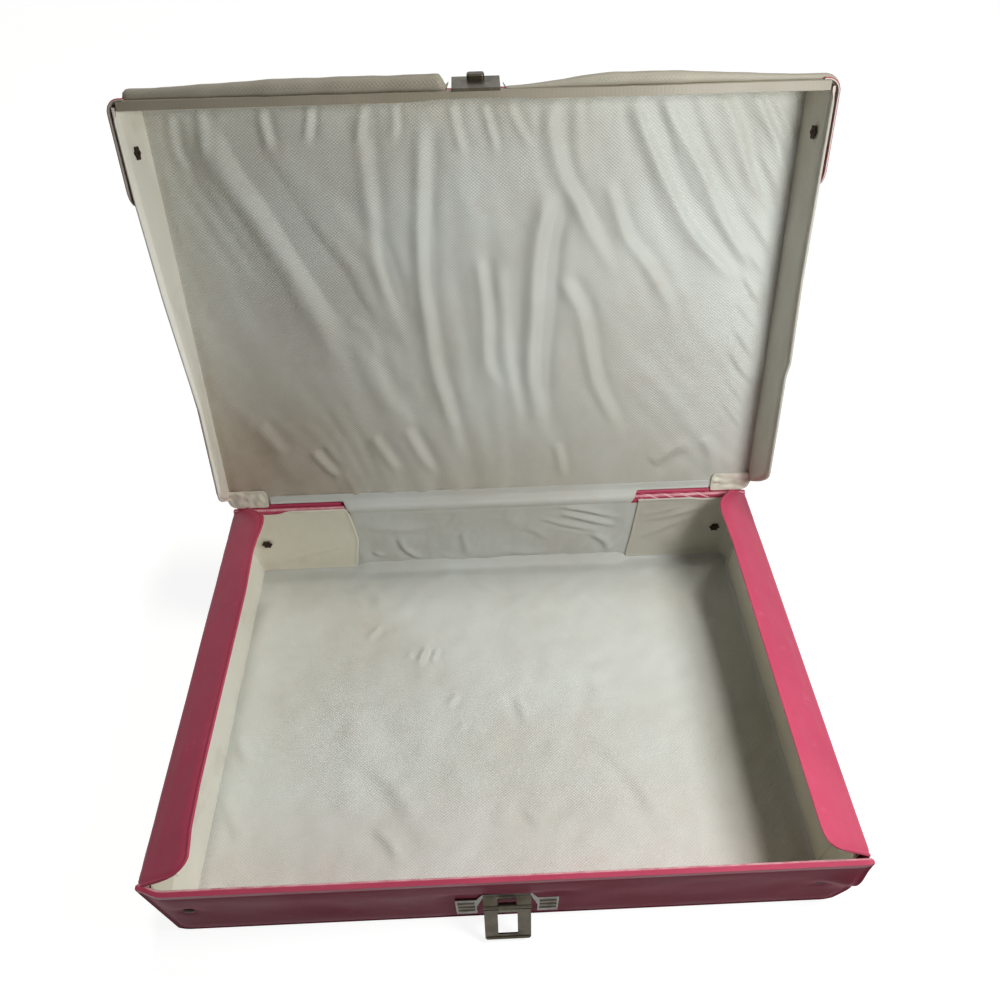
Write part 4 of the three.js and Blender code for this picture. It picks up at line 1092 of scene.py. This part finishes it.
def lip(which, side, taper, wrap, thick, slim):
    """The roll from beside the keeper to the corner, and round it on the side where it wraps."""
    tall = 9.8
    beside_keeper, corner_x, corner_radius, corner_back = 13.6, 176, 9, 6.2
    corner_dist = LID_REACH - corner_back
    path = [(x, LID_REACH + 0.5 * thick - 0.4) for x in np.linspace(beside_keeper, corner_x, 110)]
    if wrap:
        for a in np.radians(np.linspace(0, 90, 14)[1:]):
            path.append((corner_x + corner_radius * math.sin(a), corner_dist + corner_radius * math.cos(a)))
        path += [(corner_x + corner_radius, corner_dist - back) for back in np.linspace(0, wrap, 12)[1:]]
    path = np.array(path)
    run = run_along(path)
    end = run[-1] - run
    step = np.gradient(path, axis=0)
    step = step / np.linalg.norm(step, axis=1)[:, None]
    out = np.stack([step[:, 1], -step[:, 0]], axis=1)
    grow = (0.25 + 0.75 * smooth(run, 0, taper)) * dome(run / 2.4, 0.12)
    grow = grow * (1 - slim * smooth(run, 70, 160))
    grow = grow * dome(end / (16 if wrap else 4), 0.02)
    ripple = 1 + 0.03 * np.sin(run / 6.1) + 0.02 * np.sin(run / 2.7)
    wide = 0.5 * thick * grow * ripple
    high = 0.5 * tall * (0.35 + 0.65 * grow) * ripple * dome(np.minimum(run, end) / 2.4, 0.12)
    inward = np.where(run > 0, 0.5 * thick * (1 - grow), 0)
    flat = path + out * inward[:, None]
    zero = np.zeros(len(path))
    centre = np.stack(lid_point(side * flat[:, 0], flat[:, 1], zero + LID_EDGE + 0.5 * tall + 0.2), axis=1)
    across = lid_direction(side * out[:, 0], out[:, 1], zero)
    upward = lid_direction(zero, zero, zero + 1)
    roll = swept(f"lid_lip_roll_{which}", centre, wide, high, across, upward, ROLLED)
    if side > 0:
        roll.data.flip_normals()
    keep(roll, "lid", "lining_vinyl", f"lid_lip_{which}")


lip("left", -1, taper=5, wrap=0, thick=7.8, slim=0.32)
lip("right", 1, taper=60, wrap=26, thick=6.4, slim=0.52)


# The tabs in the corners of the base: the side walls' lining, turned round and riveted on

def corner_tab(wall, which, side, edge_line, low_z, high_z, seed, creases, material):
    uneven = waves(seed, 9, 60)
    small = waves(seed + 2, 4, 14)
    edge_at = through(edge_line)
    back = 1 if wall == "back" else -1
    reach = 6
    side_run = 9
    arc = reach * math.pi / 2
    far, wall_y = 174.3, 119.35

    def free(z):
        return side_run + arc + (far - reach) - edge_at(z)

    def place(s, t, h):
        """s is the height, and t runs from the side wall round the corner and along the long wall."""
        along = np.maximum(t - side_run - arc, 0)
        angle = np.clip((t - side_run) / reach, 0, math.pi / 2)
        radius = reach - h
        x = far - reach + radius * np.cos(angle) - along
        y = wall_y - reach - side_run + np.minimum(t, side_run) + radius * np.sin(angle)
        if back < 0:
            return side * x, back * (y + front_lean(x, s) * smooth(y, 112, 119)), s
        under_flap = (high_z - 66) * smooth(x, 138, 150) * smooth(s, 50, high_z)
        return side * x, back * y, s - under_flap

    def front_of(s, t, edge):
        border = 0.45 * bead(edge, 0.8) * (edge < 1.6)
        soft = smooth(edge, 2, 8)
        return 0.55 + border + soft * (0.3 * uneven(s, t) + 0.06 * small(s, t) + folded(t, s, creases))

    tab = panel(f"{wall}_tab_{which}", stations(low_z, high_z, 1.3), constant(0), free, place, front_of,
                level(-0.05), [material], 1.5, flip=side * back > 0)
    keep_sheet(tab, "base", (f"corner_tab_{wall}_{which}",))
    if back < 0:
        press_front(tab)


BACK_LEFT_EDGE = ((5, 101.2), (10, 100.7), (36, 96.3), (52, 97.4), (61, 98.6), (66, 99.4))
BACK_RIGHT_EDGE = ((5, 99.8), (13, 100), (23, 101), (41, 102), (65, 103))
FRONT_LEFT_EDGE = ((5, 117), (36, 114), (64, 116))
FRONT_RIGHT_EDGE = ((5, 116.5), (36, 114.5), (64, 116))
LEFT_CREASES = ((((24, 10), (52, 22), (88, 32)), 1.8, 0.9),)
RIGHT_CREASES = (
    (((30, 60), (60, 50), (88, 46)), 3, 0.8), (((34, 52), (60, 38), (84, 22)), 3, 0.7),
    (((50, 60), (70, 54), (90, 52)), 2.2, 0.6), (((26, 14), (40, 12), (60, 9)), 2, 0.6),
)

corner_tab("back", "left", -1, BACK_LEFT_EDGE, 5.2, 69, 101, LEFT_CREASES, CREAM)
# The back right tab takes the shaded cream: painted shade.
corner_tab("back", "right", 1, BACK_RIGHT_EDGE, 5, 67.4, 103, RIGHT_CREASES, CREAM_SHADED)
corner_tab("front", "left", -1, FRONT_LEFT_EDGE, 5.2, 62.6, 105, (), CREAM)
corner_tab("front", "right", 1, FRONT_RIGHT_EDGE, 5.2, 62.6, 107, (), CREAM)


# The hinge: a pale strip inside, the rose skin outside

def hinge_band(name, points, reach, materials, slot_name, seed, nodes=(), flip=False,
               amount=0.2, rise=0):
    thick = 0.7
    uneven = waves(seed, 8, 60)
    line = curve_through(points, 40)
    run = run_along(line)
    tangent = np.gradient(line, axis=0)
    tangent = tangent / np.linalg.norm(tangent, axis=1)[:, None]

    def foot(s):
        return rise * smooth(np.abs(s), 98, 102.5)

    def place(s, t, h):
        y = np.interp(t, run, line[:, 0]) + h * np.interp(t, run, -tangent[:, 1])
        z = np.interp(t, run, line[:, 1]) + h * np.interp(t, run, tangent[:, 0])
        return s, y, z

    def front_of(s, t, edge):
        soft = smooth(edge, 0.5, 3)
        return 0.5 * thick + amount * soft * uneven(s, t) - 0.25 * thick * (1 - smooth(edge, 0, 0.6))

    band = panel(name, stations(-reach, reach, 2, False), foot, constant(run[-1]), place, front_of,
                 level(-0.5 * thick), materials, 0.5, False, flip=flip)
    keep_sheet(band, None, nodes, slot_name)
    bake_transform(band)


STRIP_LINE = ((118.5, 65.6), (118.2, 67.4), (118.4, 69.4), (119.5, 71), (121.3, 71.9), (123.1, 72.4),
              (124.3, 73.6), (125, 75.6), (125.6, 77.6))
SKIN_LINE = ((123.5, 52), (123.55, 60), (123.6, 67), (124.3, 69.6), (126.2, 70.4), (128.2, 71.4),
             (129.6, 74.2), (131, 78.6))

hinge_band("hinge_strip_inside", STRIP_LINE, 152.0, [LINED], "lining_vinyl", 111,
           ("hinge_strip",), amount=0.16, rise=10.0)
hinge_band("hinge_skin_outside", SKIN_LINE, 176, [PINK, PINK_SHADED], "pink_vinyl", 113,
           flip=True)


# The small crumpled tabs beside the ends of the strip

def end_tab(which, side, seed):
    uneven = waves(seed, 4, 14)
    near, far = 153.6, 181

    def front_of(s, t, edge):
        crumple = 0.8 * uneven(s, t) * smooth(edge, 0, 3)
        return LID_IN - 1.5 - 1.3 * smooth(t, 3, 11) - crumple

    tab = panel(f"end_tab_{which}", stations(near, far, 0.8, False),
                *rounded(-1.5, 12, near, far, (1.2, 6, 2.4, 1)),
                lambda s, t, h: lid_point(side * s, t, h), front_of,
                lambda s, t, e: front_of(s, t, e) + 0.7, [CREAM], 0.8, False, flip=side < 0)
    keep_sheet(tab, "lid", (f"lid_end_tab_{which}",))
    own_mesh(tab)


end_tab("left", -1, 121)
end_tab("right", 1, 123)


# The metal nodes that stay, with their materials

def dress(names, material, bevel):
    for node in names:
        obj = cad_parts[node]
        obj.data.materials.clear()
        obj.data.materials.append(material)
        if bevel:
            soft = obj.modifiers.new("soft_edges", "BEVEL")
            soft.width = bevel
            soft.segments = 2
            soft.limit_method = "ANGLE"
            soft.angle_limit = math.radians(35)
        obj.data.polygons.foreach_set("use_smooth", np.ones(len(obj.data.polygons), bool))
        obj.data.set_sharp_from_angle(angle=math.radians(38))


dress(["latch_plate", "hasp", "keeper"], NICKEL, 0.00012)
dress([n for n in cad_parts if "rivet" in n], RUST, 0)
